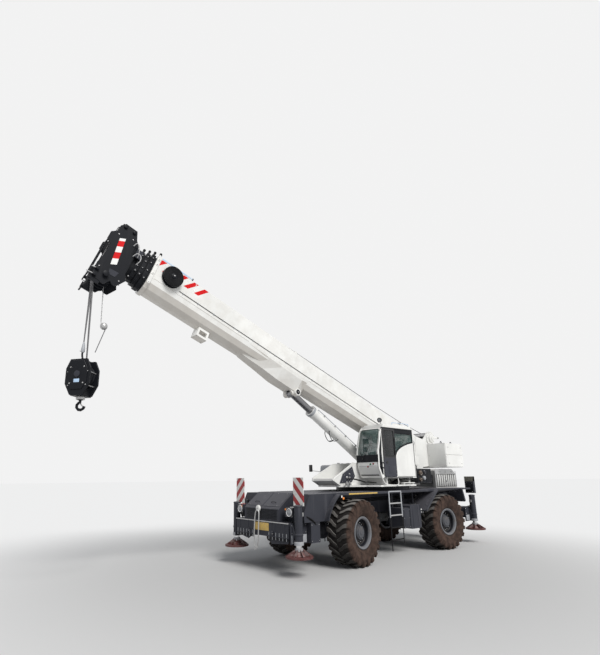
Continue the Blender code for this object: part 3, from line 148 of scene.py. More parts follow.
class Finish:
    """A procedural material around one Principled shader."""

    def __init__(self, name, colour, roughness=0.5, metallic=0.0, sockets=()):
        self.material = bpy.data.materials.new(name)
        self.material.use_nodes = True
        self.tree = self.material.node_tree
        self.shader = self.tree.nodes["Principled BSDF"]
        self.feed("Base Color", colour)
        self.feed("Roughness", roughness)
        self.feed("Metallic", metallic)
        for socket, value in sockets:
            self.feed(socket, value)

    def _plug(self, socket, value):
        if isinstance(value, Wire):
            self.tree.links.new(value.socket, socket)
        elif isinstance(value, (tuple, list)) and len(value) == 3 and socket.type == "RGBA":
            socket.default_value = (*value, 1.0)
        else:
            socket.default_value = value

    def feed(self, socket, value):
        self._plug(self.shader.inputs[socket], value)
        return self

    def node(self, kind, settings, values, output=0):
        """Adds one node, sets it, plugs its inputs and gives one of its outputs."""
        node = self.tree.nodes.new(kind)
        for key, value in settings.items():
            setattr(node, key, value)
        for key, value in values.items():
            self._plug(node.inputs[key], value)
        return Wire(self, node.outputs[output])

    def place(self):
        return self.node("ShaderNodeTexCoord", {}, {}, "Object")

    def axes(self, vector=None):
        vector = vector or self.place()
        return [self.node("ShaderNodeSeparateXYZ", {}, {0: vector}, i) for i in range(3)]

    def noise(self, scale, detail=3.0, roughness=0.55, stretch=None, vector=None):
        vector = vector or self.place()
        if stretch:
            vector = self.node("ShaderNodeVectorMath", {"operation": "MULTIPLY"}, {0: vector, 1: stretch})
        values = {"Vector": vector, "Scale": scale, "Detail": detail, "Roughness": roughness}
        return self.node("ShaderNodeTexNoise", {}, values)

    def cells(self, scale, stretch=None):
        vector = self.place()
        if stretch:
            vector = self.node("ShaderNodeVectorMath", {"operation": "MULTIPLY"}, {0: vector, 1: stretch})
        return self.node("ShaderNodeTexVoronoi", {}, {"Vector": vector, "Scale": scale}, "Distance")

    def mix(self, share, first, second):
        settings = {"data_type": "RGBA"}
        return self.node("ShaderNodeMix", settings, {0: share, 6: first, 7: second}, 2)

    def facing(self, axis):
        """How far a surface faces along an axis of the world, from -1 to 1."""
        normal = self.node("ShaderNodeNewGeometry", {}, {}, "Normal")
        return self.node("ShaderNodeSeparateXYZ", {}, {0: normal}, axis)

    def bump(self, height, strength, distance):
        values = {"Strength": strength, "Distance": distance, "Height": height}
        self.feed("Normal", self.node("ShaderNodeBump", {}, values))
        return self


def shade_of(colour, factor):
    return tuple(min(1.0, part * factor) for part in colour)


def weathered(finish, colour, dust, amount, tide, roughness):
    """Even paint with faint mottling, dust on what faces up, rain streaks and splashed mud low down; on the
    charcoal, the grey-lilac film on what faces up is also painted light from above.
    """
    mottle = finish.noise(1.3, 4.0)
    grain = finish.noise(38.0, 2.0)
    streak = finish.noise(5.0, 3.0, stretch=(1.0, 1.0, 0.12))
    body = finish.mix(mottle.ramp(0.3, 0.7), shade_of(colour, 0.93), shade_of(colour, 1.05))
    height = finish.axes()[2]
    up = finish.facing(2).ramp(0.3, 0.95)
    low = height.ramp(tide, 0.3) * finish.noise(3.2, 5.0).ramp(0.35, 0.62)
    rained = streak.ramp(0.55, 0.75) * amount * 0.35
    share = (up * (0.35 + 0.65 * grain) * amount + rained + low * amount).clamped()
    finish.feed("Base Color", finish.mix(share, body, dust))
    finish.feed("Roughness", (roughness + share * 0.4 + (grain - 0.5) * 0.12).clamped())
    finish.bump(finish.noise(140.0, 2.0) * 0.6 + share * 0.4, 0.12, 0.002)
    return finish


GLOSSY = (("Coat Weight", 0.2), ("Coat Roughness", 0.2))
DULL = (("Specular IOR Level", 0.12),)

# Finishes, filled by the palette operator and shared by every piece
FINISHES = {}


def finish_of(name):
    return FINISHES[name].material


# Where an outline's two coordinates and its level go, for each plane that it can lie in
PLANES = {
    "xz": lambda a, b, c: (a, c, b),
    "yz": lambda a, b, c: (c, a, b),
    "xy": lambda a, b, c: (a, b, c),
}


class Shape:
    """Collects the closed solids of one piece, each with one of its finishes."""

    def __init__(self, name, place=MACHINE):
        self.name = name
        self.place = place
        self.mesh = bmesh.new()
        self.names = []

    def _take(self, part, finish, turn=None):
        if finish not in self.names:
            self.names.append(finish)
        index = self.names.index(finish)
        bmesh.ops.recalc_face_normals(part, faces=part.faces)
        for face in part.faces:
            face.material_index = index
        if turn is not None:
            part.transform(turn)
        mesh = bpy.data.meshes.new("part")
        part.to_mesh(mesh)
        part.free()
        self.mesh.from_mesh(mesh)
        bpy.data.meshes.remove(mesh)
        return self

    def block(self, finish, x, y, z, bevel=0.006, turn=None):
        """A bevelled block from three (low, high) pairs."""
        part = bmesh.new()
        size = Vector((x[1] - x[0], y[1] - y[0], z[1] - z[0]))
        middle = Vector((x[1] + x[0], y[1] + y[0], z[1] + z[0])) / 2
        place = Matrix.Translation(middle) @ Matrix.Diagonal((*size, 1.0))
        bmesh.ops.create_cube(part, size=1.0, matrix=place)
        if bevel:
            width = min(bevel, min(size) * 0.4)
            bmesh.ops.bevel(part, geom=part.edges[:], offset=width, segments=2, profile=0.6, affect="EDGES")
        return self._take(part, finish, turn)

    def plate(self, finish, outline, plane, low, high, bevel=0.004, turn=None):
        """A flat outline in one plane, thickened from low to high along the third axis."""
        part = bmesh.new()
        spots = PLANES[plane]
        bottom = [part.verts.new(spots(a, b, low)) for a, b in outline]
        top = [part.verts.new(spots(a, b, high)) for a, b in outline]
        part.faces.new(bottom)
        part.faces.new(top)
        count = len(outline)
        for i in range(count):
            part.faces.new((bottom[i], bottom[(i + 1) % count], top[(i + 1) % count], top[i]))
        if bevel:
            bmesh.ops.recalc_face_normals(part, faces=part.faces)
            rims = [
                edge
                for edge in part.edges if any(len(face.verts) == count for face in edge.link_faces)
            ]
            width = min(bevel, (high - low) * 0.4)
            bmesh.ops.bevel(part, geom=rims, offset=width, segments=1, affect="EDGES")
        return self._take(part, finish, turn)

    def lathe(self, finish, profile, turn, steps=24, closed=False):
        """A profile of (radius, along) turned about Z, then placed by turn."""
        part = bmesh.new()
        rings = []
        for radius, along in profile:
            count = 1 if radius < 1e-6 else steps
            ring = []
            for i in range(count):
                angle = 2 * math.pi * i / steps
                ring.append(part.verts.new((radius * math.cos(angle), radius * math.sin(angle), along)))
            rings.append(ring)
        pairs = list(zip(rings, rings[1:]))
        if closed:
            pairs.append((rings[-1], rings[0]))
        for low, high in pairs:
            for i in range(steps):
                j = (i + 1) % steps
                corners = []
                ends = ((low, i), (low, j), (high, j), (high, i))
                for corner in [ring[k % len(ring)] for ring, k in ends]:
                    if corner not in corners:
                        corners.append(corner)
                if len(corners) > 2:
                    part.faces.new(corners)
        return self._take(part, finish, turn)

    def rod(self, finish, start, end, radius, steps=12, end_radius=None, chamfer=0.15):
        """A round bar between two points, with chamfered ends."""
        start = Vector(start)
        run = Vector(end) - start
        last = radius if end_radius is None else end_radius
        cut = min(radius, last) * chamfer
        profile = [(0.0, 0.0), (radius - cut, 0.0), (radius, cut), (last, run.length - cut)]
        profile += [(last - cut, run.length), (0.0, run.length)]
        turn = Matrix.Translation(start) @ run.to_track_quat("Z", "Y").to_matrix().to_4x4()
        return self.lathe(finish, profile, turn, steps)

    def hose(self, finish, points, radius, steps=8, smooth=5):
        """A round tube along a smooth path through the points, closed at its ends."""
        points = [Vector(point) for point in points]
        if smooth > 1 and len(points) > 2:
            ends = [2 * points[0] - points[1]] + points + [2 * points[-1] - points[-2]]
            path = []
            for a, b, c, d in zip(ends, ends[1:], ends[2:], ends[3:]):
                for i in range(smooth):
                    t = i / smooth
                    square = (2 * a - 5 * b + 4 * c - d) * t * t
                    cube = (3 * b - a - 3 * c + d) * t ** 3
                    path.append(0.5 * (2 * b + (c - a) * t + square + cube))
            path.append(points[-1])
        else:
            path = points
        part = bmesh.new()
        heading = (path[1] - path[0]).normalized()
        side = heading.orthogonal().normalized()
        rings = []
        for i, point in enumerate(path):
            ahead = path[min(i + 1, len(path) - 1)] - path[max(i - 1, 0)]
            turn = heading.rotation_difference(ahead.normalized())
            side = (turn @ side).normalized()
            heading = ahead.normalized()
            other = heading.cross(side)
            ring = []
            for k in range(steps):
                angle = 2 * math.pi * k / steps
                spoke = math.cos(angle) * side + math.sin(angle) * other
                ring.append(part.verts.new(point + radius * spoke))
            rings.append(ring)
        for low, high in zip(rings, rings[1:]):
            for k in range(steps):
                part.faces.new((low[k], low[(k + 1) % steps], high[(k + 1) % steps], high[k]))
        part.faces.new(rings[0])
        part.faces.new(rings[-1])
        return self._take(part, finish)

    def bolts(self, places, axis, radius=0.014, height=0.012, finish="steel"):
        """Hexagon heads standing on a face, along an axis."""
        axis = Vector(axis).normalized()
        for place in places:
            place = Vector(place)
            self.rod(finish, place - axis * 0.003, place + axis * height, radius, 6, chamfer=0.2)
        return self

    def ring(self, finish, outer, inner, plane, low, high, warp=None):
        """A frame between two loops of equally many points, thickened as a plate; warp moves its points."""
        part = bmesh.new()
        spots = PLANES[plane]
        loops = []
        for outline, level in ((outer, low), (inner, low), (inner, high), (outer, high)):
            places = [spots(a, b, level) for a, b in outline]
            loops.append([part.verts.new(warp(*place) if warp else place) for place in places])
        count = len(outer)
        for first, second in zip(loops, loops[1:] + loops[:1]):
            for i in range(count):
                part.faces.new((first[i], first[(i + 1) % count], second[(i + 1) % count], second[i]))
        return self._take(part, finish)

    def grid(self, finish, left, right, levels, out, thickness, columns=6):
        """A sheet over the cab's front between two sides, at the given levels, standing out by a distance."""
        part = bmesh.new()
        sheets = []
        for depth in (out, out - thickness):
            rows = []
            for z in levels:
                x = cab_front(z) + depth
                rows.append([part.verts.new((x, y, z)) for y in along(left, right, columns)])
            sheets.append(rows)
        front, back = sheets
        last = len(levels) - 1
        for i in range(last):
            for k in range(columns - 1):
                part.faces.new((front[i][k], front[i][k + 1], front[i + 1][k + 1], front[i + 1][k]))
                part.faces.new((back[i][k], back[i + 1][k], back[i + 1][k + 1], back[i][k + 1]))
            for k in (0, columns - 1):
                part.faces.new((front[i][k], front[i + 1][k], back[i + 1][k], back[i][k]))
        for i in (0, last):
            for k in range(columns - 1):
                part.faces.new((front[i][k], front[i][k + 1], back[i][k + 1], back[i][k]))
        return self._take(part, finish)

    def pad(self, finish, middle, half, lean):
        """A crowned cushion: its faces swell, its sides pull in, and a seam runs around it."""
        part = bmesh.new()
        bmesh.ops.create_cube(part, size=2.0)
        bmesh.ops.subdivide_edges(part, edges=part.edges[:], cuts=7, use_grid_fill=True)
        thin = half.index(min(half))
        for vert in part.verts:
            place = list(vert.co)
            others = [place[i] for i in range(3) if i != thin]
            swell = (1 - others[0] ** 4) * (1 - others[1] ** 4)
            groove = 0.06 * math.exp(-((abs(others[0]) - 0.62) / 0.07) ** 2)
            place[thin] *= 0.62 + 0.42 * swell - groove
            for i in range(3):
                if i != thin:
                    other = others[1] if i == min(k for k in range(3) if k != thin) else others[0]
                    place[i] *= 1.0 - 0.05 * (1 - other ** 2) * abs(place[i]) ** 6
                    place[i] *= 1.0 - 0.1 * abs(other) ** 8
                    place[i] *= 1.0 - 0.07 * abs(vert.co[thin]) ** 4
            vert.co = [value * size for value, size in zip(place, half)]
        turn = Matrix.Translation(Vector(middle)) @ Matrix.Rotation(lean, 4, "Y")
        return self._take(part, finish, turn)

    def settle(self, body, replaced=(), crease=35.0, own_frame=False):
        """Puts the piece into the scene, on its body if it has one, and hides the parts that it replaces."""
        mesh = bpy.data.meshes.new(self.name)
        self.mesh.to_mesh(mesh)
        self.mesh.free()
        piece = bpy.data.objects.new(self.name, mesh)
        if own_frame:
            piece.matrix_world = self.place
        else:
            mesh.transform(self.place)
        if self.place.determinant() < 0:
            mesh.flip_normals()
        bpy.context.scene.collection.objects.link(piece)
        for name in self.names:
            mesh.materials.append(finish_of(name))
        mesh.shade_smooth()
        mesh.set_sharp_from_angle(angle=math.radians(crease))
        if body:
            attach(piece, body)
        if replaced:
            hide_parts(*replaced)
        return piece


def along(start, end, count):
    """Evenly spaced numbers from start to end, both included."""
    return [start + (end - start) * i / max(count - 1, 1) for i in range(count)]


def around(count, radius, start=0.0):
    """Evenly spaced places on a circle about the origin, as pairs."""
    angles = along(start, start + 2 * math.pi * (count - 1) / count, count)
    return [(radius * math.cos(angle), radius * math.sin(angle)) for angle in angles]


def beside(side, near, far):
    """A stretch across the machine, on its left (side 1) or its right (side -1)."""
    return sorted((side * near, side * far))


def turned_to(place, axis):
    """A frame at a place whose Z lies along an axis."""
    return Matrix.Translation(Vector(place)) @ Vector(axis).to_track_quat("Z", "Y").to_matrix().to_4x4()


def rounded_box(low_a, high_a, low_b, high_b, radius, steps=5, split=4):
    """A rectangle with round corners, its sides split into short runs."""
    corners = (
        (high_a - radius, high_b - radius, 0),
        (low_a + radius, high_b - radius, 90),
        (low_a + radius, low_b + radius, 180),
        (high_a - radius, low_b + radius, 270),
    )
    points = []
    for a, b, start in corners:
        for i in range(steps + 1):
            angle = math.radians(start + 90 * i / steps)
            points.append(Vector((a + radius * math.cos(angle), b + radius * math.sin(angle))))
    path = []
    for i, point in enumerate(points):
        path.append(tuple(point))
        if i % (steps + 1) == steps:
            after = points[(i + 1) % len(points)]
            path += [tuple(point.lerp(after, k / split)) for k in range(1, split)]
    return path


def clipped(points, limit):
    """The part of a convex outline that lies behind a station."""
    kept = []
    for (a0, b0), (a1, b1) in zip(points, points[1:] + points[:1]):
        if a0 <= limit:
            kept.append((a0, b0))
        if (a0 <= limit) != (a1 <= limit):
            kept.append((limit, b0 + (b1 - b0) * (limit - a0) / (a1 - a0)))
    return kept


def paint(name, description, default):
    return FloatVectorProperty(name=name, description=description, subtype="COLOR", default=default)


class CraneFinishes(bpy.types.PropertyGroup):
    white: paint("Crane white", "Paint of the boom, cab and counterweight", (0.78, 0.78, 0.76))
    charcoal: paint("Carrier charcoal", "Paint of the carrier", (0.04, 0.042, 0.052))
    black: paint("Boom head black", "Paint of the boom head and hook block", (0.01, 0.011, 0.014))
    red: paint("Stripe red", "Red of the marker stripes", (0.6, 0.01, 0.012))
    dust: paint("Dust", "Colour of the dust", (0.3, 0.24, 0.19))
    dustiness: FloatProperty(
        name="Dustiness", description="How dusty the machine is", default=0.35, min=0.0, max=1.0,
    )


class CraneTyres(bpy.types.PropertyGroup):
    radius: FloatProperty(name="Radius", description="Radius over the lugs", default=0.935, unit="LENGTH")
    width: FloatProperty(name="Width", description="Width over the sidewalls", default=0.74, unit="LENGTH")
    lugs: IntProperty(name="Lugs", description="Lugs on each side of the tread", default=22, min=8)
    lug_height: FloatProperty(
        name="Lug height", description="Depth of the tread", default=0.048, unit="LENGTH",
    )


class CraneStage(bpy.types.PropertyGroup):
    sun: FloatProperty(name="Key light", description="Strength of the soft key light", default=2.75)
    sky: FloatProperty(name="Fill light", description="Strength of the even light around", default=0.4)
    floor: paint("Floor", "Colour of the floor", (0.885, 0.885, 0.885))


class CRANE_OT_palette(bpy.types.Operator):
    """Makes every finish of the crane"""

    bl_idname = "crane.palette"
    bl_label = "Make the finishes"

    def execute(self, context):
        look = context.scene.crane_finishes
        white = tuple(look.white)
        charcoal = tuple(look.charcoal)
        black = tuple(look.black)
        red = tuple(look.red)
        dust = tuple(look.dust)
        amount = look.dustiness

        def add(name, finish):
            FINISHES[name] = finish
            return finish

        # Grey-lilac film: dust on the dark paints, and on the charcoal's tops that face up also painted light
        # from above
        dust_and_top_light = (0.26, 0.25, 0.27)
        # finish: name, material, colour, metallic value, sockets, dirt colour (on the charcoal also painted
        # top light), dirt's share, tide, roughness
        painted = (
            ("white", "white_paint", white, 0.0, GLOSSY, dust, 0.35, 0.9, 0.32),
            ("boom_white", "boom_paint", white, 0.0, GLOSSY, (0.42, 0.37, 0.31), 0.4, 0.0, 0.32),
            ("charcoal", "charcoal_paint", charcoal, 0.0, DULL, dust_and_top_light, 1.0, 0.9, 0.42),
            ("black", "black_paint", black, 0.0, DULL, shade_of(dust_and_top_light, 0.5), 0.4, 0.6, 0.4),
            ("silver", "silver_paint", (0.5, 0.5, 0.5), 0.6, (), dust, 0.4, 1.2, 0.35),
            ("slat", "bright_slats", (0.62, 0.62, 0.61), 0.3, (), dust, 0.3, 1.2, 0.35),
            ("red", "stripe_red", red, 0.0, DULL, dust, 0.15, 0.6, 0.45),
            ("grey", "pale_grey", (0.36, 0.375, 0.4), 0.0, (), dust, 0.6, 1.3, 0.4),
            ("olive", "olive_grey", (0.13, 0.125, 0.105), 0.0, (), dust, 0.6, 1.3, 0.5),
            ("bronze", "bronze_cast", (0.12, 0.09, 0.07), 0.5, (), dust, 0.6, 1.3, 0.5),
        )
        for name, material, colour, metallic, sockets, dirt_and_top_light, part, tide, roughness in painted:
            finish = add(name, Finish(material, colour, 0.5, metallic, sockets))
            weathered(finish, colour, dirt_and_top_light, amount * part, tide, roughness)
        # Painted shade: the boom's sides that face down are darkened towards a brownish grey
        boom = FINISHES["boom_white"]
        unshaded_boom = Wire(boom, boom.shader.inputs["Base Color"].links[0].from_socket)
        boom.feed("Base Color", boom.mix(boom.facing(2).ramp(-0.2, -0.55) * 0.5, unshaded_boom, (0.4, 0.35, 0.29)))
        rim = add("rim", Finish("rim_paint", (0.2, 0.2, 0.2), 0.45, sockets=DULL))
        x, y, z = rim.axes()
        radius = (x * x + z * z) ** 0.5
        # Painted shade: the recessed dish between the hub and the outer ring is near black
        shaded_dish = rim.mix(radius.ramp(0.262, 0.256), (0.014, 0.015, 0.019), (0.085, 0.088, 0.098))
        body = rim.mix(radius.ramp(0.374, 0.384), shaded_dish, (0.17, 0.175, 0.19))
        rim.feed("Base Color", rim.mix(
            rim.noise(6.0, 4.0).ramp(0.5, 0.75) * 0.35, body, shade_of(dust, 0.6),
        ))
        striped = add("striped", Finish("striped_board", white, 0.4))
        _, y, z = striped.axes()
        mask = ((abs(y) + z) % 0.36) > 0.18
        grime = striped.noise(9.0, 4.0).ramp(0.5, 0.8) * 0.25
        # The stripes' red at half strength: painted shade on the boards' faces
        stripes = striped.mix(mask, shade_of(white, 0.85), shade_of(red, 0.5))
        striped.feed("Base Color", striped.mix(grime, stripes, shade_of(dust, 0.6)))

        tyre = add("tyre", Finish("tyre_rubber", (0.05, 0.045, 0.04), 0.9, sockets=DULL))
        x, y, z = tyre.axes()
        radius = (x * x + z * z) ** 0.5
        across = abs(y)
        mud = tyre.noise(7.0, 5.0)
        fine = tyre.noise(60.0, 3.0)
        side = across.ramp(0.27, 0.33) * radius.ramp(0.95, 0.88)
        worn = radius.ramp(0.905, 0.93)
        rubber = tyre.mix(fine.ramp(0.3, 0.7), (0.012, 0.011, 0.011), (0.034, 0.031, 0.029))
        dusty = tyre.mix(mud.ramp(0.3, 0.7), (0.04, 0.026, 0.021), (0.082, 0.053, 0.042))
        walls = tyre.mix((side * (0.55 + 0.6 * mud)).clamped(), rubber, dusty)
        bare = (worn * (0.1 + 0.75 * tyre.facing(2).ramp(-0.2, 0.8))).clamped()
        tops = tyre.mix(bare, walls, (0.21, 0.2, 0.19))
        tyre.feed("Base Color", tops)
        tyre.bump(fine * 0.5 + mud * 0.5, 0.35, 0.004)

        steel = add("steel", Finish("worn_steel", (0.42, 0.42, 0.42), 0.4, 0.9))
        steel.feed("Roughness", steel.noise(25.0, 4.0).ramp(0.3, 0.7, 0.25, 0.6))
        chrome = add("chrome", Finish("chromed_rod", (0.78, 0.78, 0.79), 0.12, 1.0))
        chrome.feed("Roughness", chrome.noise(40.0).ramp(0.3, 0.7, 0.08, 0.2))
        rod = add("rod", Finish("greased_rod", (0.24, 0.24, 0.25), 0.25, 0.9))
        rod.feed("Roughness", rod.noise(18.0, stretch=(0.3, 1.0, 1.0)).ramp(0.3, 0.7, 0.15, 0.45))
        cable = add("cable", Finish("steel_rope", (0.16, 0.16, 0.165), 0.45, 0.7))
        cable.bump(cable.noise(260.0, 1.0), 0.5, 0.003)
        rubber = add("rubber", Finish("black_rubber", (0.012, 0.012, 0.013), 0.6, sockets=DULL))
        rubber.feed("Roughness", rubber.noise(30.0).ramp(0.3, 0.7, 0.45, 0.75))
        plastic = add("plastic", Finish("black_plastic", (0.01, 0.01, 0.012), 0.35))
        plastic.bump(plastic.noise(400.0, 1.0), 0.15, 0.001)
        trim = add("trim", Finish("charcoal_panel", (0.048, 0.05, 0.062), 0.4, sockets=DULL))
        trim.bump(trim.noise(300.0, 1.0), 0.1, 0.001)
        glass = add("glass", Finish("green_glass", (0.05, 0.1, 0.09), 0.04, sockets=(("Alpha", 0.42),)))
        glass.feed("Base Color", glass.mix(
            glass.noise(1.1).ramp(0.4, 0.6), (0.04, 0.08, 0.075), (0.12, 0.19, 0.18),
        ))
        glass.material.surface_render_method = "BLENDED"
        dark_glass = add("dark_glass", Finish(
            "dark_glass", (0.01, 0.012, 0.014), 0.05, sockets=(("Alpha", 0.72),),
        ))
        dark_glass.feed("Roughness", dark_glass.noise(6.0).ramp(0.4, 0.7, 0.03, 0.12))
        lens = add("lens", Finish("clear_lens", (0.2, 0.215, 0.23), 0.08, sockets=(("Coat Weight", 1.0),)))
        lens.bump(lens.cells(90.0), 0.4, 0.002)
        # lens: name, material, colour
        lenses = (
            ("amber", "amber_lens", (0.85, 0.25, 0.02)),
            ("red_lens", "red_lens", (0.5, 0.02, 0.015)),
            ("green_lens", "green_lens", (0.03, 0.35, 0.1)),
        )
        for name, material, colour in lenses:
            lamp = add(name, Finish(material, colour, 0.15, sockets=(("Coat Weight", 0.6),)))
            lamp.bump(lamp.cells(120.0), 0.3, 0.002)
        mirror = add("mirror", Finish("mirror", (0.8, 0.82, 0.83), 0.03, 1.0))
        mirror.feed("Roughness", mirror.noise(9.0).ramp(0.4, 0.8, 0.02, 0.08))
        yellow = add("yellow", Finish("blank_plate", (0.62, 0.42, 0.1), 0.45))
        yellow.feed("Base Color", yellow.mix(
            yellow.noise(14.0, 4.0).ramp(0.45, 0.75) * 0.6, (0.62, 0.42, 0.1), dust,
        ))
        blue = add("pale_blue", Finish("pale_blue_guard", (0.42, 0.58, 0.78), 0.35))
        blue.feed("Base Color", blue.mix(blue.noise(5.0).ramp(0.4, 0.7) * 0.4, (0.42, 0.58, 0.78), white))
        cloth = add("cloth", Finish(
            "seat_cloth", (0.03, 0.03, 0.034), 0.95, sockets=(("Sheen Weight", 0.4),),
        ))
        cloth.bump(cloth.cells(420.0), 0.5, 0.002)
        pad = add("pad", Finish("pad_gussets", (0.5, 0.4, 0.38), 0.6))
        rust = pad.noise(7.0, 5.0)
        base = pad.mix(rust.ramp(0.4, 0.62), (0.22, 0.16, 0.155), (0.075, 0.02, 0.018))
        low = pad.axes()[2].ramp(0.57, 0.53)
        pad.feed("Base Color", pad.mix((low * 0.85).clamped(), base, (0.075, 0.014, 0.013)))
        jack = add("jack", Finish("jack_rod", (0.5, 0.5, 0.5), 0.3))
        height = jack.axes()[2]
        bright = height.ramp(0.63, 0.65)
        lower = jack.mix(jack.noise(8.0, 4.0).ramp(0.35, 0.65), (0.12, 0.03, 0.028), (0.24, 0.16, 0.15))
        jack.feed("Base Color", jack.mix(bright, lower, (0.7, 0.7, 0.71)))
        jack.feed("Metallic", bright)
        jack.feed("Roughness", 0.6 - bright * 0.42)
        iron = add("iron", Finish("engine_iron", (0.12, 0.125, 0.13), 0.6, 0.4))
        iron.feed("Base Color", iron.mix(
            iron.noise(12.0, 5.0).ramp(0.5, 0.7), (0.12, 0.125, 0.13), (0.06, 0.045, 0.035),
        ))
        return {"FINISHED"}


def coat_node(name, finish):
    """A CAD node keeps its shape and takes a finish in each of its slots."""
    node = NODES[name]
    if not node.material_slots:
        node.data.materials.append(finish_of(finish))
    for slot in node.material_slots:
        slot.material = finish_of(finish)


class CRANE_OT_stage(bpy.types.Operator):
    """Sets the floor, the light and the camera"""

    bl_idname = "crane.stage"
    bl_label = "Set the stage"

    def execute(self, context):
        look = context.scene.crane_stage
        scene = context.scene
        scene.view_settings.view_transform = "Standard"
        mesh = bpy.data.meshes.new("floor")
        reach = 400.0
        corners = [(a * reach, b * reach, 0) for a, b in ((-1, -1), (1, -1), (1, 1), (-1, 1))]
        mesh.from_pydata(corners, [], [(0, 1, 2, 3)])
        floor = bpy.data.objects.new("floor", mesh)
        scene.collection.objects.link(floor)
        pale = Finish(
            "studio_floor", tuple(look.floor), 0.9, sockets=(("Specular IOR Level", 0.0), ("IOR", 1.0)),
        )
        x, y, _ = pale.axes()
        # Painted shadow: the floor is darkened to 0.62 of its colour near its middle, where the crane stands,
        # fading out between 4 and 15 m
        shadow_fade = ((x * x + y * y) ** 0.5).ramp(4.0, 15.0)
        pale.feed("Base Color", pale.mix(shadow_fade, shade_of(look.floor, 0.62), tuple(look.floor)))
        mesh.materials.append(pale.material)

        world = bpy.data.worlds.new("studio")
        scene.world = world
        world.use_nodes = True
        tree = world.node_tree
        back = tree.nodes["Background"]
        back.inputs["Color"].default_value = (0.89, 0.89, 0.89, 1.0)
        back.inputs["Strength"].default_value = 1.0
        fill = tree.nodes.new("ShaderNodeBackground")
        fill.inputs["Color"].default_value = (0.93, 0.96, 1.0, 1.0)
        fill.inputs["Strength"].default_value = look.sky
        rays = tree.nodes.new("ShaderNodeLightPath")
        # Camera, glossy and transmission rays see the bright background, and all others the even fill
        seen = rays.outputs["Is Camera Ray"]
        for kind in ("Is Glossy Ray", "Is Transmission Ray"):
            either = tree.nodes.new("ShaderNodeMath")
            either.operation = "MAXIMUM"
            tree.links.new(seen, either.inputs[0])
            tree.links.new(rays.outputs[kind], either.inputs[1])
            seen = either.outputs[0]
        shown = tree.nodes.new("ShaderNodeMixShader")
        tree.links.new(seen, shown.inputs[0])
        tree.links.new(fill.outputs[0], shown.inputs[1])
        tree.links.new(back.outputs[0], shown.inputs[2])
        tree.links.new(shown.outputs[0], tree.nodes["World Output"].inputs[0])

        light = bpy.data.lights.new("key", "SUN")
        light.energy = look.sun
        light.angle = math.radians(28.0)
        light.color = (1.0, 0.985, 0.96)
        key = bpy.data.objects.new("key", light)
        key.rotation_euler = Vector((0.1, 0.8, 0.75)).to_track_quat("Z", "Y").to_euler()
        scene.collection.objects.link(key)

        # The lens, its shift and its place follow from the photograph's lines
        view = bpy.data.cameras.new("view")
        view.sensor_width = 36.0
        view.lens = 23.34
        view.shift_x = 0.053
        view.shift_y = 0.0663
        view.clip_end = 900.0
        heading = math.radians(231.41)
        rise = math.radians(14.18)
        roll = math.radians(-0.5)
        level = math.cos(rise)
        ahead = Vector((math.cos(heading) * level, math.sin(heading) * level, math.sin(rise)))
        right = Vector((math.sin(heading), -math.cos(heading), 0.0))
        over = right.cross(ahead)
        across = right * math.cos(roll) + over * math.sin(roll)
        upward = over * math.cos(roll) - right * math.sin(roll)
        camera = bpy.data.objects.new("camera", view)
        turn = Matrix((across, upward, -ahead)).transposed().to_4x4()
        camera.matrix_world = Matrix.Translation(SHIFT + Vector((10.32, 10.18, 2.5))) @ turn
        scene.collection.objects.link(camera)
        scene.camera = camera
        return {"FINISHED"}


def fit_lug(shape, start, face, radius, half, pitch):
    """One lug as a bent bar: its inner end leads, its outer end turns down over the shoulder."""
    # row: distance across, lead in pitches, top radius, foot radius, half width
    rows = (
        (0.015, 0.62, radius, radius - 0.07, 0.04),
        (0.11, 0.44, radius, radius - 0.07, 0.052),
        (0.2, 0.14, radius, radius - 0.07, 0.056),
        (0.29, 0.02, radius - 0.003, radius - 0.08, 0.062),
        (0.345, 0.0, radius - 0.02, radius - 0.13, 0.066),
        (half - 0.004, 0.0, radius - 0.055, radius - 0.2, 0.062),
        (half - 0.002, 0.0, radius - 0.135, radius - 0.225, 0.05),
    )
    part = bmesh.new()
    rings = []
    for across, lead, top, foot, width in rows:
        angle = start + lead * pitch
        ring = []
        # Left half of the section, from its foot to its chamfered edge, then the same on the right
        half_section = [(foot, width * 1.12), (top - 0.008, width), (top, width - 0.01)]
        for r, w in [(r, -w) for r, w in half_section] + half_section[::-1]:
            a = angle + w / radius
            ring.append(part.verts.new((r * math.sin(a), face * across, r * math.cos(a))))
        rings.append(ring)
    for low, high in zip(rings, rings[1:]):
        for k in range(len(low)):
            j = (k + 1) % len(low)
            part.faces.new((low[k], low[j], high[j], high[k]))
    part.faces.new(rings[0])
    part.faces.new(rings[-1])
    shape._take(part, "tyre")


class CRANE_OT_tyres(bpy.types.Operator):
    """Builds the four tyres with their chevron lugs"""

    bl_idname = "crane.tyres"
    bl_label = "Build the tyres"

    def execute(self, context):
        size = context.scene.crane_tyres
        radius = size.radius
        half = size.width / 2
        tread = radius - size.lug_height
        for corner in CORNERS:
            shape = Shape("tyre_dressed_" + corner, hub_frame(corner))
            # Half of the outline from the bead out to the tread: radius, distance from the middle plane
            wall = [
                (0.4003, 0.284), (0.425, 0.284), (0.452, 0.2835), (0.462, 0.292), (0.5, 0.318),
                (0.545, 0.33), (0.55, 0.338), (0.575, 0.339), (0.58, 0.345), (0.64, 0.36),
                (0.7, half - 0.002), (0.71, half), (0.735, half), (0.742, half - 0.006),
                (0.8, half - 0.018), (0.86, half - 0.045), (tread - 0.004, half - 0.085),
                (tread + 0.002, half - 0.14), (tread + 0.006, 0.1),
            ]
            profile = wall + [(r, -a) for r, a in reversed(wall)]
            shape.lathe("tyre", profile, Matrix.Rotation(-math.pi / 2, 4, "X"), 72, closed=True)
            pitch = 2 * math.pi / size.lugs
            for face in (1, -1):
                for i in range(size.lugs):
                    start = (i + (0.5 if face > 0 else 0.0)) * pitch
                    fit_lug(shape, start, face, radius, half, pitch)
            shape.settle("wheel_" + corner, ("tyre_" + corner,), 30.0, own_frame=True)
        return {"FINISHED"}


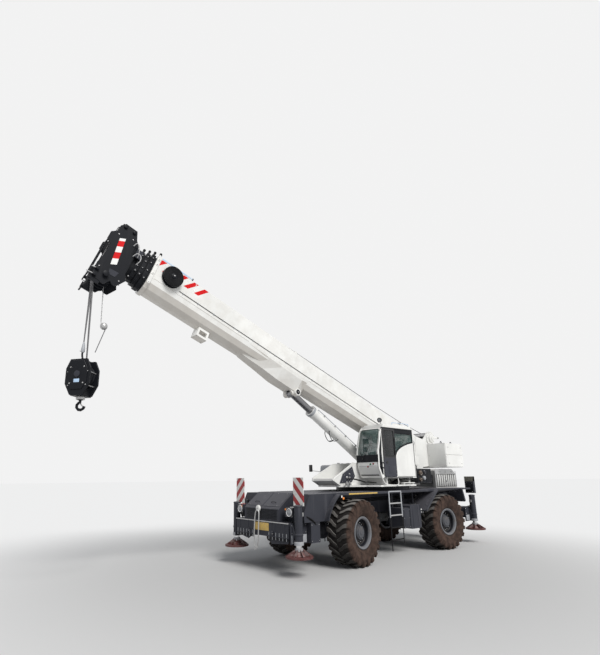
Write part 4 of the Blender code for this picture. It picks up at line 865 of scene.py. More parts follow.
class CRANE_OT_rims(bpy.types.Operator):
    """Builds the rims, hub drives and wheel nuts"""

    bl_idname = "crane.rims"
    bl_label = "Build the rims"

    def execute(self, context):
        for corner in CORNERS:
            place = hub_frame(corner)
            if corner.endswith("right"):
                place = place @ Matrix.Rotation(math.pi, 4, "Z")
            shape = Shape("rim_dressed_" + corner, place)
            turn = Matrix.Rotation(-math.pi / 2, 4, "X")
            rim = [
                (0.378, -0.305), (0.452, -0.305), (0.452, -0.2853), (0.3995, -0.2853), (0.3995, 0.2853),
                (0.452, 0.2853), (0.452, 0.298), (0.446, 0.307), (0.43, 0.309), (0.418, 0.3),
                (0.402, 0.297), (0.396, 0.285), (0.388, 0.283), (0.384, 0.25), (0.378, 0.24), (0.372, 0.14),
                (0.35, 0.118), (0.3, 0.108), (0.255, 0.102), (0.25, 0.05), (0.372, 0.05),
            ]
            shape.lathe("rim", rim, turn, 48, closed=True)
            hub = [
                (0.0, 0.05), (0.256, 0.05), (0.256, 0.112), (0.235, 0.118), (0.215, 0.118), (0.205, 0.13),
                (0.196, 0.2), (0.188, 0.212), (0.155, 0.216), (0.15, 0.232), (0.142, 0.238), (0.06, 0.24),
                (0.055, 0.248), (0.0, 0.249),
            ]
            shape.lathe("rim", hub, turn, 40)
            for i in range(16):
                a = 2 * math.pi * i / 16
                spot = (0.29 * math.cos(a), 0.105, 0.29 * math.sin(a))
                shape.bolts([spot], (0, 1, 0), 0.018, 0.028)
            for i in range(12):
                a = 2 * math.pi * (i + 0.5) / 12
                shape.bolts(
                    [(0.172 * math.cos(a), 0.214, 0.172 * math.sin(a))], (0, 1, 0), 0.011, 0.01,
                    finish="rim",
                )
            shape.settle("wheel_" + corner, ("rim_" + corner,), 30.0, own_frame=True)
        return {"FINISHED"}


def fit_lamps():
    """Headlamps in their boxes, with a chromed ring, a ribbed lens and a dark surround."""
    shape = Shape("headlamps")
    for y in (1.175, -1.1):
        shape.block("plastic", (2.335, 2.352), (y - 0.125, y + 0.125), (1.485, 1.715), 0.012)
        turn = turned_to((2.345, y, 1.6), (1, 0, 0))
        shape.lathe("chrome", [
            (0.084, 0.0), (0.108, 0.0), (0.109, 0.018), (0.101, 0.03), (0.088, 0.024),
        ], turn, 28, closed=True)
        shape.lathe("lens", [
            (0.0, 0.0), (0.086, 0.0), (0.085, 0.012), (0.06, 0.026), (0.03, 0.033), (0.0, 0.035),
        ], turn, 28)
        shape.bolts([
            (2.352, y + dy, 1.6 + dz)
            for dy in (-0.108, 0.108)
            for dz in (-0.1, 0.1)
        ], (1, 0, 0), 0.008, 0.006)
    # Small amber lamps by their upper inner corners
    for side in (1, -1):
        turn = turned_to((2.345, side * 1.02, 1.675), (1, 0, 0))
        shape.lathe("amber", [(0.0, 0.0), (0.026, 0.0), (0.025, 0.012), (0.0, 0.018)], turn, 16)
    shape.settle("carrier")


def fit_nose():
    """Hood panels, front rail, blank plate and pull bar."""
    shape = Shape("front_fittings")

    def slope(share, height):
        """A point on the hood's sloping top."""
        return (2.36 - 0.5 * share + 0.615 * height, 1.7 + 0.39 * share + 0.789 * height)

    panel = [slope(0.05, 0.0), slope(0.05, 0.01), slope(0.95, 0.01), slope(0.95, 0.0)]
    for side in (-1, 1):
        shape.plate("charcoal", panel, "xz", *beside(side, 0.03, 0.76), 0.003)
    for y in (-0.62, -0.22, 0.22, 0.62):
        for share in (0.1, 0.9):
            x, z = slope(share, 0.01)
            shape.bolts([(x, y, z)], (0.615, 0, 0.789), 0.01, 0.008)
    for y in (-0.38, 0.38):
        x, z = slope(0.3, 0.03)
        shape.hose("black", [
            (x, y - 0.09, z - 0.03), (x + 0.01, y - 0.08, z), (x + 0.01, y + 0.08, z),
            (x, y + 0.09, z - 0.03),
        ], 0.008, 8, 3)
    for z in along(1.4, 1.62, 7):
        shape.block("black", (2.398, 2.41), (-0.7, 0.7), (z - 0.011, z + 0.011), 0.003)
    shape.block("charcoal", (2.398, 2.414), (-0.74, 0.74), (1.645, 1.665), 0.004)
    # Rail along the top edge of the front outrigger box
    shape.block("silver", (2.405, 2.435), (-1.21, 1.21), (1.302, 1.328), 0.008)
    shape.bolts([(2.435, y, 1.316) for y in along(-1.12, 1.12, 9)], (1, 0, 0), 0.012, 0.008)
    shape.block("charcoal", (2.415, 2.428), (-1.19, 1.19), (0.935, 0.955), 0.004)
    for y in (-1.02, -0.62, 0.62, 1.02):
        shape.block("charcoal", (2.415, 2.427), (y - 0.03, y + 0.03), (0.95, 1.3), 0.004)
    # A thin black sheet over each skirt stands in for a recess as painted shade, with its grey ribs
    for side in (1, -1):
        shape.block("black", (2.4145, 2.418), beside(side, 0.34, 1.16), (0.86, 1.06), 0.001)
        for y in along(0.38, 1.12, 6):
            shape.block("grey", (2.416, 2.426), beside(side, y - 0.008, y + 0.008), (0.86, 1.05), 0.003)
    # Blank plate
    shape.block("yellow", (2.418, 2.427), (-0.29, 0.37), (1.07, 1.28), 0.004)
    shape.bolts([(2.427, y, z) for y in (-0.26, 0.34) for z in (1.095, 1.255)], (1, 0, 0), 0.009, 0.006)
    # Pull bar of two bars from a round eye down to its hook
    shape.hose("silver", [
        (2.455, -0.13, 1.62), (2.462, -0.2, 1.45), (2.462, -0.25, 0.85), (2.455, -0.22, 0.62),
    ], 0.017, 8, 4)
    shape.hose("silver", [
        (2.455, -0.04, 1.62), (2.462, -0.02, 1.45), (2.462, -0.06, 0.85), (2.455, -0.13, 0.62),
    ], 0.017, 8, 4)
    turn = turned_to((2.41, -0.085, 1.66), (1, 0, 0))
    shape.lathe("white", [
        (0.0, 0.0), (0.085, 0.0), (0.085, 0.045), (0.07, 0.058), (0.03, 0.06), (0.0, 0.06),
    ], turn, 24)
    shape.rod("steel", (2.4, -0.085, 1.66), (2.49, -0.085, 1.66), 0.022, 10)
    shape.block("silver", (2.435, 2.475), (-0.245, -0.105), (0.585, 0.645), 0.012)
    shape.hose("silver", [
        (2.455, -0.17, 0.6), (2.46, -0.165, 0.55), (2.46, -0.195, 0.525), (2.46, -0.235, 0.545),
    ], 0.015, 8, 4)
    # Tow eyes under the nose
    for y in (-0.55, 0.55):
        shape.plate("charcoal", [
            (2.4, 0.95), (2.47, 0.97), (2.49, 1.02), (2.47, 1.07), (2.4, 1.09),
        ], "xz", y - 0.02, y + 0.02)
        shape.rod("steel", (2.455, y - 0.035, 1.02), (2.455, y + 0.035, 1.02), 0.018, 10)
    # Camera and bracket behind the right marker board
    shape.block("plastic", (2.06, 2.14), (-1.1, -1.02), (1.78, 1.86), 0.015)
    shape.rod("plastic", (2.13, -1.06, 1.82), (2.16, -1.06, 1.82), 0.022, 12)
    shape.rod("black", (2.08, -1.06, 1.56), (2.08, -1.06, 1.8), 0.012, 8)
    # Hose loops behind the front jacks
    loops = (
        ((2.02, 1.4, 1.5), (1.94, 1.47, 1.47), (1.8, 1.475, 1.4), (1.68, 1.465, 1.31), (1.62, 1.42, 1.24)),
        ((2.00, 1.38, 1.44), (1.9, 1.44, 1.42), (1.76, 1.45, 1.36), (1.64, 1.45, 1.27), (1.57, 1.4, 1.2)),
    )
    for side in (1, -1):
        for points in loops:
            path = [(x, side * y, z) for x, y, z in points]
            shape.hose("rubber", path, 0.014, 8, 5)
            shape.rod("steel", path[0], Vector(path[0]) + Vector((0.05, -0.02 * side, 0.02)), 0.019, 6)
            shape.rod(
                "steel", Vector(path[-1]) + Vector((0.0, side * 0.01, 0.01)),
                Vector(path[-1]) + Vector((-0.02, -0.05 * side, -0.03)), 0.019, 6,
            )
        shape.bolts([
            (x, side * 1.45, z)
            for x in (1.52, 1.79)
            for z in (0.85, 1.26)
        ], (0, side, 0), 0.012, 0.008)
    shape.settle("carrier")


def fit_deck():
    """Walkway plates, edge marks, side lamps, the tanks' fittings, valve blocks and hoses."""
    shape = Shape("deck_fittings")
    for side in (1, -1):
        for x0, x1 in ((-1.3, -0.3), (-0.28, 0.66)):
            shape.block("charcoal", (x0, x1), beside(side, 0.62, 1.4), (2.058, 2.066), 0.003)
            places = [(x, side * y, 2.066) for x in along(x0 + 0.06, x1 - 0.06, 3) for y in (0.68, 1.34)]
            shape.bolts(places, (0, 0, 1), 0.01, 0.006)
        shape.block("charcoal", (-6.28, 0.88), beside(side, 1.448, 1.462), (1.992, 2.064), 0.005)
        shape.block("yellow", (-1.12, 0.23), beside(side, 1.46, 1.466), (2.005, 2.045), 0.003)
        shape.block("white", (0.515, 0.565), beside(side, 1.449, 1.459), (1.93, 1.99), 0.003)
        turn = turned_to((0.485, side * 1.449, 1.91), (0, side, 0))
        shape.lathe("black", [(0.0, 0.0), (0.044, 0.0), (0.044, 0.012), (0.0, 0.014)], turn, 20)
        shape.lathe("amber", [(0.0, 0.012), (0.036, 0.012), (0.034, 0.026), (0.0, 0.034)], turn, 20)
        for x in along(-5.9, -4.7, 4):
            turn = turned_to((x, side * 1.45, 1.95), (0, side, 0))
            shape.lathe("charcoal", [(0.0, 0.0), (0.02, 0.0), (0.018, 0.012), (0.0, 0.014)], turn, 12)
        # Tank straps, filler and fasteners
        for x in (-3.36, -3.04):
            shape.block("charcoal", (x - 0.025, x + 0.025), beside(side, 1.419, 1.427), (0.86, 1.53), 0.003)
        shape.rod("black", (-3.19, side * 1.22, 1.575), (-3.19, side * 1.22, 1.63), 0.055, 20)
        places = [(x, side * 1.4, z) for x in (-2.86, -2.55) for z in (0.89, 1.17, 1.45)]
        shape.bolts(places, (0, side, 0), 0.01, 0.008)
        shape.block("charcoal", (-2.84, -2.57), beside(side, 1.398, 1.406), (0.92, 1.42), 0.004)
        # Valve block behind the tank, with its caps and hoses
        shape.block("charcoal", (-3.74, -3.54), beside(side, 1.12, 1.38), (1.26, 1.44), 0.012)
        for x, z in ((-3.69, 1.4), (-3.59, 1.4), (-3.69, 1.31), (-3.59, 1.31)):
            turn = turned_to((x, side * 1.378, z), (0, side, 0))
            shape.lathe("white" if z > 1.35 else "steel", [
                (0.0, 0.0), (0.026, 0.0), (0.026, 0.022), (0.014, 0.032), (0.0, 0.033),
            ], turn, 14)
        shape.rod("charcoal", (-3.64, side * 1.05, 1.38), (-3.64, side * 1.05, 2.0), 0.03, 8)
        for k, x in enumerate((-3.69, -3.64, -3.59)):
            points = [
                (x, side * 1.2, 1.27), (x - 0.03, side * 1.18, 1.16),
                (x - 0.03, side * 1.02, 1.14 - 0.03 * k), (x - 0.01, side * 0.8, 1.3),
                (x, side * 0.52, 1.45),
            ]
            shape.hose("rubber", points, 0.013, 8, 5)
        # Hoses along the frame
        for k in range(3):
            z = 1.73 + 0.045 * k
            points = [
                (0.75, side * 0.5, z), (-0.4, side * 0.505, z + 0.02), (-1.4, side * 0.5, z - 0.03),
                (-2.4, side * 0.505, z), (-4.9, side * 0.5, z), (-6.4, side * 0.505, z),
            ]
            shape.hose("rubber", points, 0.015, 8, 3)
    shape.rod("charcoal", (-2.4, -0.95, 1.74), (-1.35, -0.95, 1.74), 0.125, 24)
    shape.rod("charcoal", (-2.4, -1.25, 1.8), (-1.35, -1.25, 1.8), 0.1, 24)
    for x in (-2.2, -1.55):
        shape.block("black", (x - 0.02, x + 0.02), (-1.36, -0.81), (1.88, 2.0), 0.005)
    shape.settle("carrier")

    edge = Shape("fender_edges")
    # Rolled edges of the fenders: front arches, then the rear fenders' line
    for side in (1, -1):
        arch = []
        for i in range(10):
            angle = math.radians(17.4 + (53.0 - 17.4) * i / 9)
            arch.append((1.337 * math.cos(angle), side * 1.596, 0.935 + 1.337 * math.sin(angle)))
        edge.hose("charcoal", arch, 0.014, 8, 1)
        line = [(-3.62, 1.4), (-4.45, 2.075), (-6.19, 2.075), (-6.35, 1.6)]
        edge.hose("charcoal", [(x, side * 1.592, z) for x, z in line], 0.016, 8, 1)
        # Struts that carry the rear fender
        for x, z in ((-4.35, 1.98), (-6.15, 1.98)):
            edge.rod("charcoal", (x, side * 0.48, 1.86), (x, side * 1.5, z), 0.028, 10)
        for x, z in ((-4.02, 1.722), (-4.2, 1.868), (-3.8, 1.543)):
            edge.bolts([(x - 0.01, side * y, z + 0.02) for y in (1.05, 1.5)], (0.6, 0, 0.8), 0.011, 0.01)
    edge.settle("carrier")


def fit_driveline():
    """Transmission, drive shafts, suspension cylinders and torque rods."""
    shape = Shape("driveline")
    shape.block("iron", (-3.25, -2.45), (-0.24, 0.24), (0.98, 1.34), 0.03)
    shape.block("iron", (-3.05, -2.65), (-0.34, 0.34), (1.06, 1.3), 0.03)
    shape.bolts([
        (x, side * 0.34, z)
        for side in (1, -1)
        for x in (-3.0, -2.7)
        for z in (1.1, 1.26)
    ], (0, 1, 0), 0.012, 0.01)
    # Shaft: from the transmission to an axle's differential
    for start, end in (((-2.44, 0.0, 1.1), (-0.36, 0.0, 0.95)), ((-3.26, 0.0, 1.1), (-4.54, 0.0, 0.95))):
        start = Vector(start)
        end = Vector(end)
        run = (end - start).normalized()
        shape.rod("iron", start + run * 0.1, end - run * 0.1, 0.045, 16)
        for place, way in ((start, run), (end, -run)):
            shape.rod("iron", place, place + way * 0.05, 0.075, 16)
            shape.rod(
                "steel", place + way * 0.08 + Vector((0, -0.06, 0)),
                place + way * 0.08 + Vector((0, 0.06, 0)), 0.022, 10,
            )
            shape.rod(
                "steel", place + way * 0.08 + Vector((0, 0, -0.06)),
                place + way * 0.08 + Vector((0, 0, 0.06)), 0.022, 10,
            )
    for axle in (0.0, -4.9):
        for side in (1, -1):
            foot = (axle + 0.22, side * 0.6, 1.02)
            head = (axle + 0.22, side * 0.62, 1.86)
            middle = (axle + 0.22, side * 0.612, 1.42)
            shape.rod("chrome", foot, middle, 0.03, 14)
            shape.rod("charcoal", (axle + 0.22, side * 0.611, 1.36), head, 0.052, 16)
            shape.rod(
                "steel", (axle + 0.22, side * 0.47, 1.83), (axle + 0.22, side * 0.69, 1.83), 0.028, 12,
            )
            shape.block("charcoal", (axle + 0.14, axle + 0.3), beside(side, 0.47, 0.52), (1.74, 1.92), 0.01)
            shape.rod("steel", (axle + 0.22, side * 0.52, 1.03), (axle + 0.22, side * 0.66, 1.03), 0.03, 12)
            shape.rod("charcoal", (axle + 0.1, side * 0.6, 0.98), (axle + 0.24, side * 0.6, 1.03), 0.05, 12)
            # Torque rod from the axle to the frame
            shape.rod(
                "charcoal", (axle - 0.1, side * 0.4, 1.12), (axle - 0.95, side * 0.44, 1.36), 0.032, 12,
            )
    shape.settle("carrier")


def fit_rear():
    """Tail lamps, blank plate and tow hitch behind, all short of the lamp panels."""
    shape = Shape("rear_fittings")
    for side in (1, -1):
        y = beside(side, 0.62, 0.92)
        shape.block("plastic", (-7.47, -7.415), y, (1.84, 1.98), 0.01)
        for k, kind in enumerate(("red_lens", "amber", "lens")):
            turn = turned_to((-7.468, side * (0.68 + 0.09 * k), 1.91), (-1, 0, 0))
            shape.lathe(kind, [(0.0, 0.0), (0.037, 0.0), (0.036, 0.012), (0.0, 0.02)], turn, 20)
        # Cap and frame of the lamp panel
        panel = beside(side, 1.00, 1.36)
        shape.block("olive", (-7.735, -7.595), panel, (2.3, 2.502), 0.012)
        shape.block("black", (-7.603, -7.59), beside(side, 1.03, 1.33), (1.88, 2.26), 0.006)
        shape.bolts([
            (-7.59, side * y2, z)
            for y2 in (1.06, 1.3)
            for z in (1.91, 2.23)
        ], (1, 0, 0), 0.009, 0.007)
        shape.block("grey", (-7.428, -7.415), beside(side, 0.7, 1.15), (0.98, 1.28), 0.005)
    shape.block("white", (-7.43, -7.418), (-0.26, 0.26), (1.62, 1.74), 0.004)
    hitch = [(-7.42, 1.00), (-7.56, 1.05), (-7.6, 1.12), (-7.56, 1.19), (-7.42, 1.24)]
    for y in (-0.14, 0.08):
        shape.plate("charcoal", hitch, "xz", y, y + 0.06)
    shape.rod("steel", (-7.545, -0.17, 1.12), (-7.545, 0.17, 1.12), 0.028, 14)
    shape.settle("carrier")


class CRANE_OT_carrier(bpy.types.Operator):
    """Paints the carrier and fits its lamps, rails, plates and fasteners"""

    bl_idname = "crane.carrier"
    bl_label = "Dress the carrier"

    def execute(self, context):
        charcoal = [
            "chassis_frame", "carrier_body", "outrigger_box_front", "outrigger_box_rear", "axle_front",
            "axle_rear",
        ]
        charcoal += ["fuel_tank", "tool_box"]
        charcoal += ["knuckle_" + corner for corner in CORNERS]
        for name in charcoal:
            coat_node(name, "charcoal")
        coat_node("engine_block", "iron")
        coat_node("slew_ring", "black")
        for side in ("left", "right"):
            coat_node("marker_board_" + side, "striped")
        fit_lamps()
        fit_nose()
        fit_deck()
        fit_driveline()
        fit_rear()
        return {"FINISHED"}


def fit_beam_end(corner, side, nose, station):
    """Cap, rings, end plate, brace, valve and hoses on a beam's jack sleeve."""
    shape = Shape("beam_fittings_" + corner)
    out = side * 1.42
    turn = Matrix.Translation((station, out, 0.0))
    cap = [
        (0.0, 1.748), (0.118, 1.748), (0.118, 1.775), (0.106, 1.787), (0.05, 1.79), (0.045, 1.8),
        (0.0, 1.802),
    ]
    shape.lathe("charcoal", cap, turn, 24)
    shape.lathe("grey", [
        (0.109, 0.795), (0.126, 0.795), (0.126, 0.87), (0.109, 0.885),
    ], turn, 24, closed=True)
    shape.lathe("charcoal", [
        (0.109, 1.02), (0.119, 1.03), (0.119, 1.07), (0.109, 1.08),
    ], turn, 24, closed=True)
    ring = [(station + a, out + b, 1.785) for a, b in around(6, 0.085, 0.5)]
    shape.bolts(ring, (0, 0, 1), 0.013, 0.012)
    # End plate: a lighter lower box and its bolts
    low, high = nose - 0.57, nose - 0.03
    shape.block("grey", (low, high), beside(side, 1.288, 1.3), (0.825, 1.03), 0.006)
    shape.bolts([
        (x, side * 1.29, z)
        for x in (low + 0.02, high - 0.02)
        for z in (1.08, 1.27)
    ], (0, side, 0), 0.014, 0.01)
    for x in (station - 0.12, station + 0.12):
        if low < x < high:
            brace = [(1.285, 1.28), (1.285, 0.84), (1.33, 0.84), (1.4, 1.1), (1.33, 1.28)]
            shape.plate("charcoal", [(side * y, z) for y, z in brace], "yz", x - 0.008, x + 0.008)
    # Valve and hoses on the sleeve
    back = station - 0.135 if corner.startswith("front") else station + 0.135
    shape.block(
        "steel", sorted((back - 0.03, back + 0.03)), sorted((out - side * 0.05, out + side * 0.03)),
        (1.5, 1.6), 0.006,
    )
    for dz, dy in ((0.0, 0.0), (0.05, 0.03)):
        points = [
            (back, out - side * (0.01 + dy), 1.5), (back, out - side * (0.02 + dy), 1.42 - dz),
            (back, side * (1.34 - dy), 1.37 - dz), (back, side * 1.27, 1.36 - dz),
        ]
        shape.hose("rubber", points, 0.012, 8, 4)
    shape.settle("beam_" + corner)


def fit_pad(corner, side, station):
    """Round pad of a jack with its gussets and collar."""
    shape = Shape("pad_gussets_" + corner)
    middle = Matrix.Translation((station, side * 1.42, 0.0))
    for i in range(8):
        turn = middle @ Matrix.Rotation(math.pi * (i + 0.5) / 4, 4, "Z")
        shape.plate("pad", [
            (0.07, 0.528), (0.335, 0.528), (0.335, 0.545), (0.105, 0.7), (0.07, 0.7),
        ], "xz", -0.008, 0.008, 0.002, turn)
    shape.lathe("pad", [
        (0.0, 0.48), (0.355, 0.48), (0.362, 0.487), (0.362, 0.53), (0.355, 0.536), (0.0, 0.536),
    ], middle, 40)
    shape.lathe("grey", [
        (0.077, 0.66), (0.108, 0.66), (0.108, 0.715), (0.092, 0.73), (0.077, 0.73),
    ], middle, 24, closed=True)
    shape.settle("jack_" + corner)


class CRANE_OT_outriggers(bpy.types.Operator):
    """Paints the outriggers and adds caps, valves, hoses and pad gussets"""

    bl_idname = "crane.outriggers"
    bl_label = "Dress the outriggers"

    def execute(self, context):
        for corner in CORNERS:
            coat_node("outrigger_beam_" + corner, "charcoal")
            coat_node("jack_" + corner, "jack")
            side = 1 if corner.endswith("left") else -1
            nose = 2.42 if corner.startswith("front") else -6.82
            station = nose - 0.3 + (0.13 if corner.startswith("front") else -0.1)
            fit_beam_end(corner, side, nose, station)
            fit_pad(corner, side, station)
        return {"FINISHED"}


def fit_hood():
    """Slats, frames, grilles and bolts of the engine hood, and the muffler beside it."""
    coat_node("engine_hood", "silver")
    shape = Shape("hood_fittings")
    for side in (1, -1):
        # A thin black sheet behind the slats: painted shade in the gaps between them
        shape.block("black", (-7.08, -5.63), beside(side, 0.9004, 0.906), (2.11, 2.6), 0.002)
        for x in along(-7.00, -5.71, 9):
            slat = [
                (x - 0.046, side * 0.905), (x + 0.046, side * 0.905), (x + 0.03, side * 0.934),
                (x - 0.03, side * 0.934),
            ]
            shape.plate("slat", slat, "xy", 2.13, 2.585, 0.004)
        shape.block("white", (-7.13, -5.56), beside(side, 0.9, 0.915), (2.063, 2.1), 0.005)
        shape.block("silver", (-7.13, -5.56), beside(side, 0.9, 0.912), (2.6, 2.64), 0.004)
        for x in (-7.1, -6.35, -5.6):
            shape.block("silver", (x - 0.02, x + 0.02), beside(side, 0.9, 0.91), (2.06, 2.72), 0.004)
        for x in (-6.8, -5.9):
            shape.rod("steel", (x - 0.05, side * 0.912, 2.7), (x + 0.05, side * 0.912, 2.7), 0.012, 10)
        shape.block("black", (-6.4, -6.3), beside(side, 0.915, 0.93), (2.3, 2.36), 0.006)
    for i in range(10):
        z = 2.14 + 0.045 * i
        shape.block("black", (-5.552, -5.54), (-0.8, 0.8), (z, z + 0.02), 0.003)
        shape.block("silver", (-7.162, -7.148), (-0.75, 0.75), (z, z + 0.02), 0.003)
    shape.bolts([(x, y, 2.8) for x in (-5.75, -6.25, -6.75) for y in (-0.82, 0.82)], (0, 0, 1), 0.012, 0.01)
    # Muffler beside the hood on the right, with its outlet
    shape.rod("iron", (-6.85, -1.1, 2.32), (-5.95, -1.1, 2.32), 0.13, 24)
    shape.hose("iron", [
        (-5.96, -1.1, 2.32), (-5.82, -1.08, 2.34), (-5.76, -0.98, 2.4), (-5.75, -0.89, 2.42),
    ], 0.045, 12, 4)
    shape.hose("iron", [
        (-6.84, -1.1, 2.34), (-7.00, -1.1, 2.37), (-7.06, -1.12, 2.45), (-7.08, -1.14, 2.56),
    ], 0.045, 12, 4)
    for x in (-6.7, -6.1):
        shape.block("black", (x - 0.02, x + 0.02), (-1.14, -1.06), (2.062, 2.2), 0.005)
        shape.lathe(
            "steel", [(0.131, -0.02), (0.136, -0.02), (0.136, 0.02), (0.131, 0.02)],
            turned_to((x, -1.1, 2.32), (1, 0, 0)), 24, closed=True,
        )
    shape.settle("carrier")


class CRANE_OT_access(bpy.types.Operator):
    """Builds the ladders and the engine hood's fittings"""

    bl_idname = "crane.access"
    bl_label = "Build ladders and hood fittings"

    def execute(self, context):
        for name, side in (("left", 1), ("right", -1)):
            shape = Shape("ladder_dressed_" + name)
            y = beside(side, 1.453, 1.478)
            for x, foot in ((-1.7, 0.22), (-2.35, 0.42)):
                shape.block("grey", (x - 0.022, x + 0.022), y, (1.24, 2.055), 0.005)
                shape.block(
                    "rubber", (x - 0.02, x + 0.02), beside(side, 1.458, 1.47), (max(foot, 0.24), 1.3),
                    0.004,
                )
                shape.bolts([(x, side * 1.476, z) for z in (1.27, 1.98)], (0, side, 0), 0.012, 0.008)
            for z, kind in (
                (2.03, "grey"), (1.66, "silver"), (1.29, "silver"), (0.92, "rubber"), (0.55, "rubber"),
            ):
                shape.block(kind, (-2.35, -1.7), beside(side, 1.45, 1.482), (z - 0.004, z + 0.034), 0.006)
                if kind == "silver":
                    for x in along(-2.27, -1.78, 8):
                        shape.rod(
                            "silver", (x, side * 1.466, z + 0.03), (x, side * 1.466, z + 0.04), 0.01, 8,
                        )
            shape.settle("carrier", ("ladder_" + name,))
        fit_hood()
        return {"FINISHED"}


def fit_turntable():
    """Bolts, plates, slew motors, hoses and rings on the turntable."""
    shape = Shape("turntable_fittings")
    places = []
    for i in range(40):
        angle = 2 * math.pi * (i + 0.5) / 40
        x = -2.75 + 1.17 * math.cos(angle)
        y = 1.17 * math.sin(angle)
        if abs(abs(y) - 0.48) > 0.06 and not (y < -0.5 and -3.4 < x < -1.4):
            places.append((x, y, 2.2503))
    shape.bolts(places, (0, 0, 1), 0.022, 0.022)
    # Dark plate, light bar and connectors on the left cheek's nose
    dark = [(-0.45, 2.32), (-1.04, 2.35), (-1.22, 2.54), (-1.1, 2.86), (-0.62, 2.62)]
    shape.plate("trim", dark, "xz", 0.5, 0.522, 0.005)
    shape.bolts([(x, 0.522, z) for x, z in (
        (-0.58, 2.37), (-1.00, 2.4), (-1.14, 2.55), (-1.06, 2.76), (-0.68, 2.58),
    )], (0, 1, 0), 0.01, 0.008)
    for x, z, radius in ((-0.8, 2.5, 0.045), (-0.93, 2.5, 0.03), (-0.93, 2.61, 0.03)):
        turn = turned_to((x, 0.52, z), (0, 1, 0))
        shape.lathe("steel", [
            (0.0, 0.0), (radius, 0.0), (radius, 0.02), (radius * 0.6, 0.035), (0.0, 0.036),
        ], turn, 18)
    shape.plate("white", [
        (-0.14, 2.395), (-0.13, 2.44), (-1.2, 3.00), (-1.26, 2.975),
    ], "xz", 0.455, 0.512, 0.005)
    # Nose plate between the cheeks
    shape.plate("white", [
        (-0.515, 2.252), (-0.49, 2.252), (-0.205, 2.4), (-0.22, 2.47), (-0.245, 2.47), (-0.235, 2.41),
    ], "xz", -0.459, 0.459, 0.003)
    for x in (-0.62, -0.74):
        shape.block("steel", (x - 0.04, x + 0.04), (0.62, 0.72), (2.2503, 2.34), 0.008)
        shape.rod("steel", (x, 0.67, 2.33), (x, 0.67, 2.39), 0.018, 8)
        points = [
            (x, 0.67, 2.38), (x - 0.02, 0.7, 2.46), (x - 0.22, 0.8, 2.44), (x - 0.52, 0.92, 2.36),
            (x - 0.9, 1.05, 2.33),
        ]
        shape.hose("rubber", points, 0.014, 8, 5)
    # Slew motors on the base plate between the cheeks
    for side in (1, -1):
        turn = Matrix.Translation((-1.62, side * 0.33, 2.245))
        motor = [
            (0.0, 0.0), (0.115, 0.0), (0.115, 0.03), (0.095, 0.04), (0.095, 0.2), (0.075, 0.22),
            (0.075, 0.34), (0.05, 0.36), (0.0, 0.36),
        ]
        shape.lathe("charcoal", motor, turn, 24)
        shape.hose("rubber", [
            (-1.62, side * 0.33, 2.59), (-1.7, side * 0.36, 2.7), (-1.95, side * 0.42, 2.68),
            (-2.25, side * 0.43, 2.45),
        ], 0.014, 8, 5)
    # Outer deck step under the cab: white plates, loop and hoses
    shape.block("white", (-3.38, -2.7), (1.2, 1.385), (2.295, 2.32), 0.005)
    shape.block("white", (-3.1, -2.3), (1.3, 1.425), (2.215, 2.245), 0.005)
    for x in (-3.3, -2.78):
        shape.block("white", (x - 0.01, x + 0.01), (1.22, 1.37), (2.25, 2.3), 0.003)
    shape.hose("white", [
        (-1.52, 1.4, 2.47), (-1.56, 1.44, 2.34), (-1.7, 1.45, 2.27), (-2.22, 1.45, 2.25),
        (-2.34, 1.44, 2.32), (-2.38, 1.4, 2.46),
    ], 0.014, 10, 5)
    for k in range(4):
        y = 1.36 - 0.05 * k
        points = [
            (-3.46, y - 0.1, 2.3), (-3.36, y, 2.4 + 0.01 * k), (-2.9, y, 2.43), (-2.55, y - 0.02, 2.41),
            (-2.42, y - 0.08, 2.33), (-2.4, y - 0.12, 2.26),
        ]
        shape.hose("rubber", points, 0.016, 8, 5)
    # Stiffeners and access holes' rings on the cheeks
    for side in (1, -1):
        y = beside(side, 0.499, 0.512)
        for outline in (
            [(-5.05, 4.06), (-5.32, 4.00), (-5.21, 3.34), (-4.95, 3.34)],
            [(-4.93, 3.3), (-5.18, 3.3), (-5.1, 2.95), (-4.6, 2.95)],
        ):
            shape.plate("white", outline, "xz", *y, 0.005)
        turn = turned_to((-4.75, side * 0.545, 3.8), (0, side, 0))
        cap = [(0.0, 0.0), (0.12, 0.0), (0.12, 0.018), (0.108, 0.026), (0.03, 0.028), (0.0, 0.028)]
        shape.lathe("steel", cap, turn, 28)
        ring = [(-4.75 + a, side * 0.572, 3.8 + b) for a, b in around(6, 0.092)]
        shape.bolts(ring, (0, side, 0), 0.01, 0.008)
        turn = turned_to((-2.8, side * 0.499, 2.8203), (0, side, 0))
        shape.lathe("charcoal", [
            (0.0, 0.0), (0.12, 0.0), (0.12, 0.014), (0.06, 0.022), (0.0, 0.022),
        ], turn, 24)
    # Hoses that run up beside the foot of the boom
    for k in range(3):
        y = 0.535 + 0.03 * k
        points = [
            (-4.2, 0.6, 2.8), (-4.15, y + 0.01, 3.00), (-4.25, y, 3.35), (-4.45, y, 3.7),
            (-4.52, y - 0.02, 3.98),
        ]
        shape.hose("rubber", points, 0.014, 8, 5)
    shape.settle("superstructure")


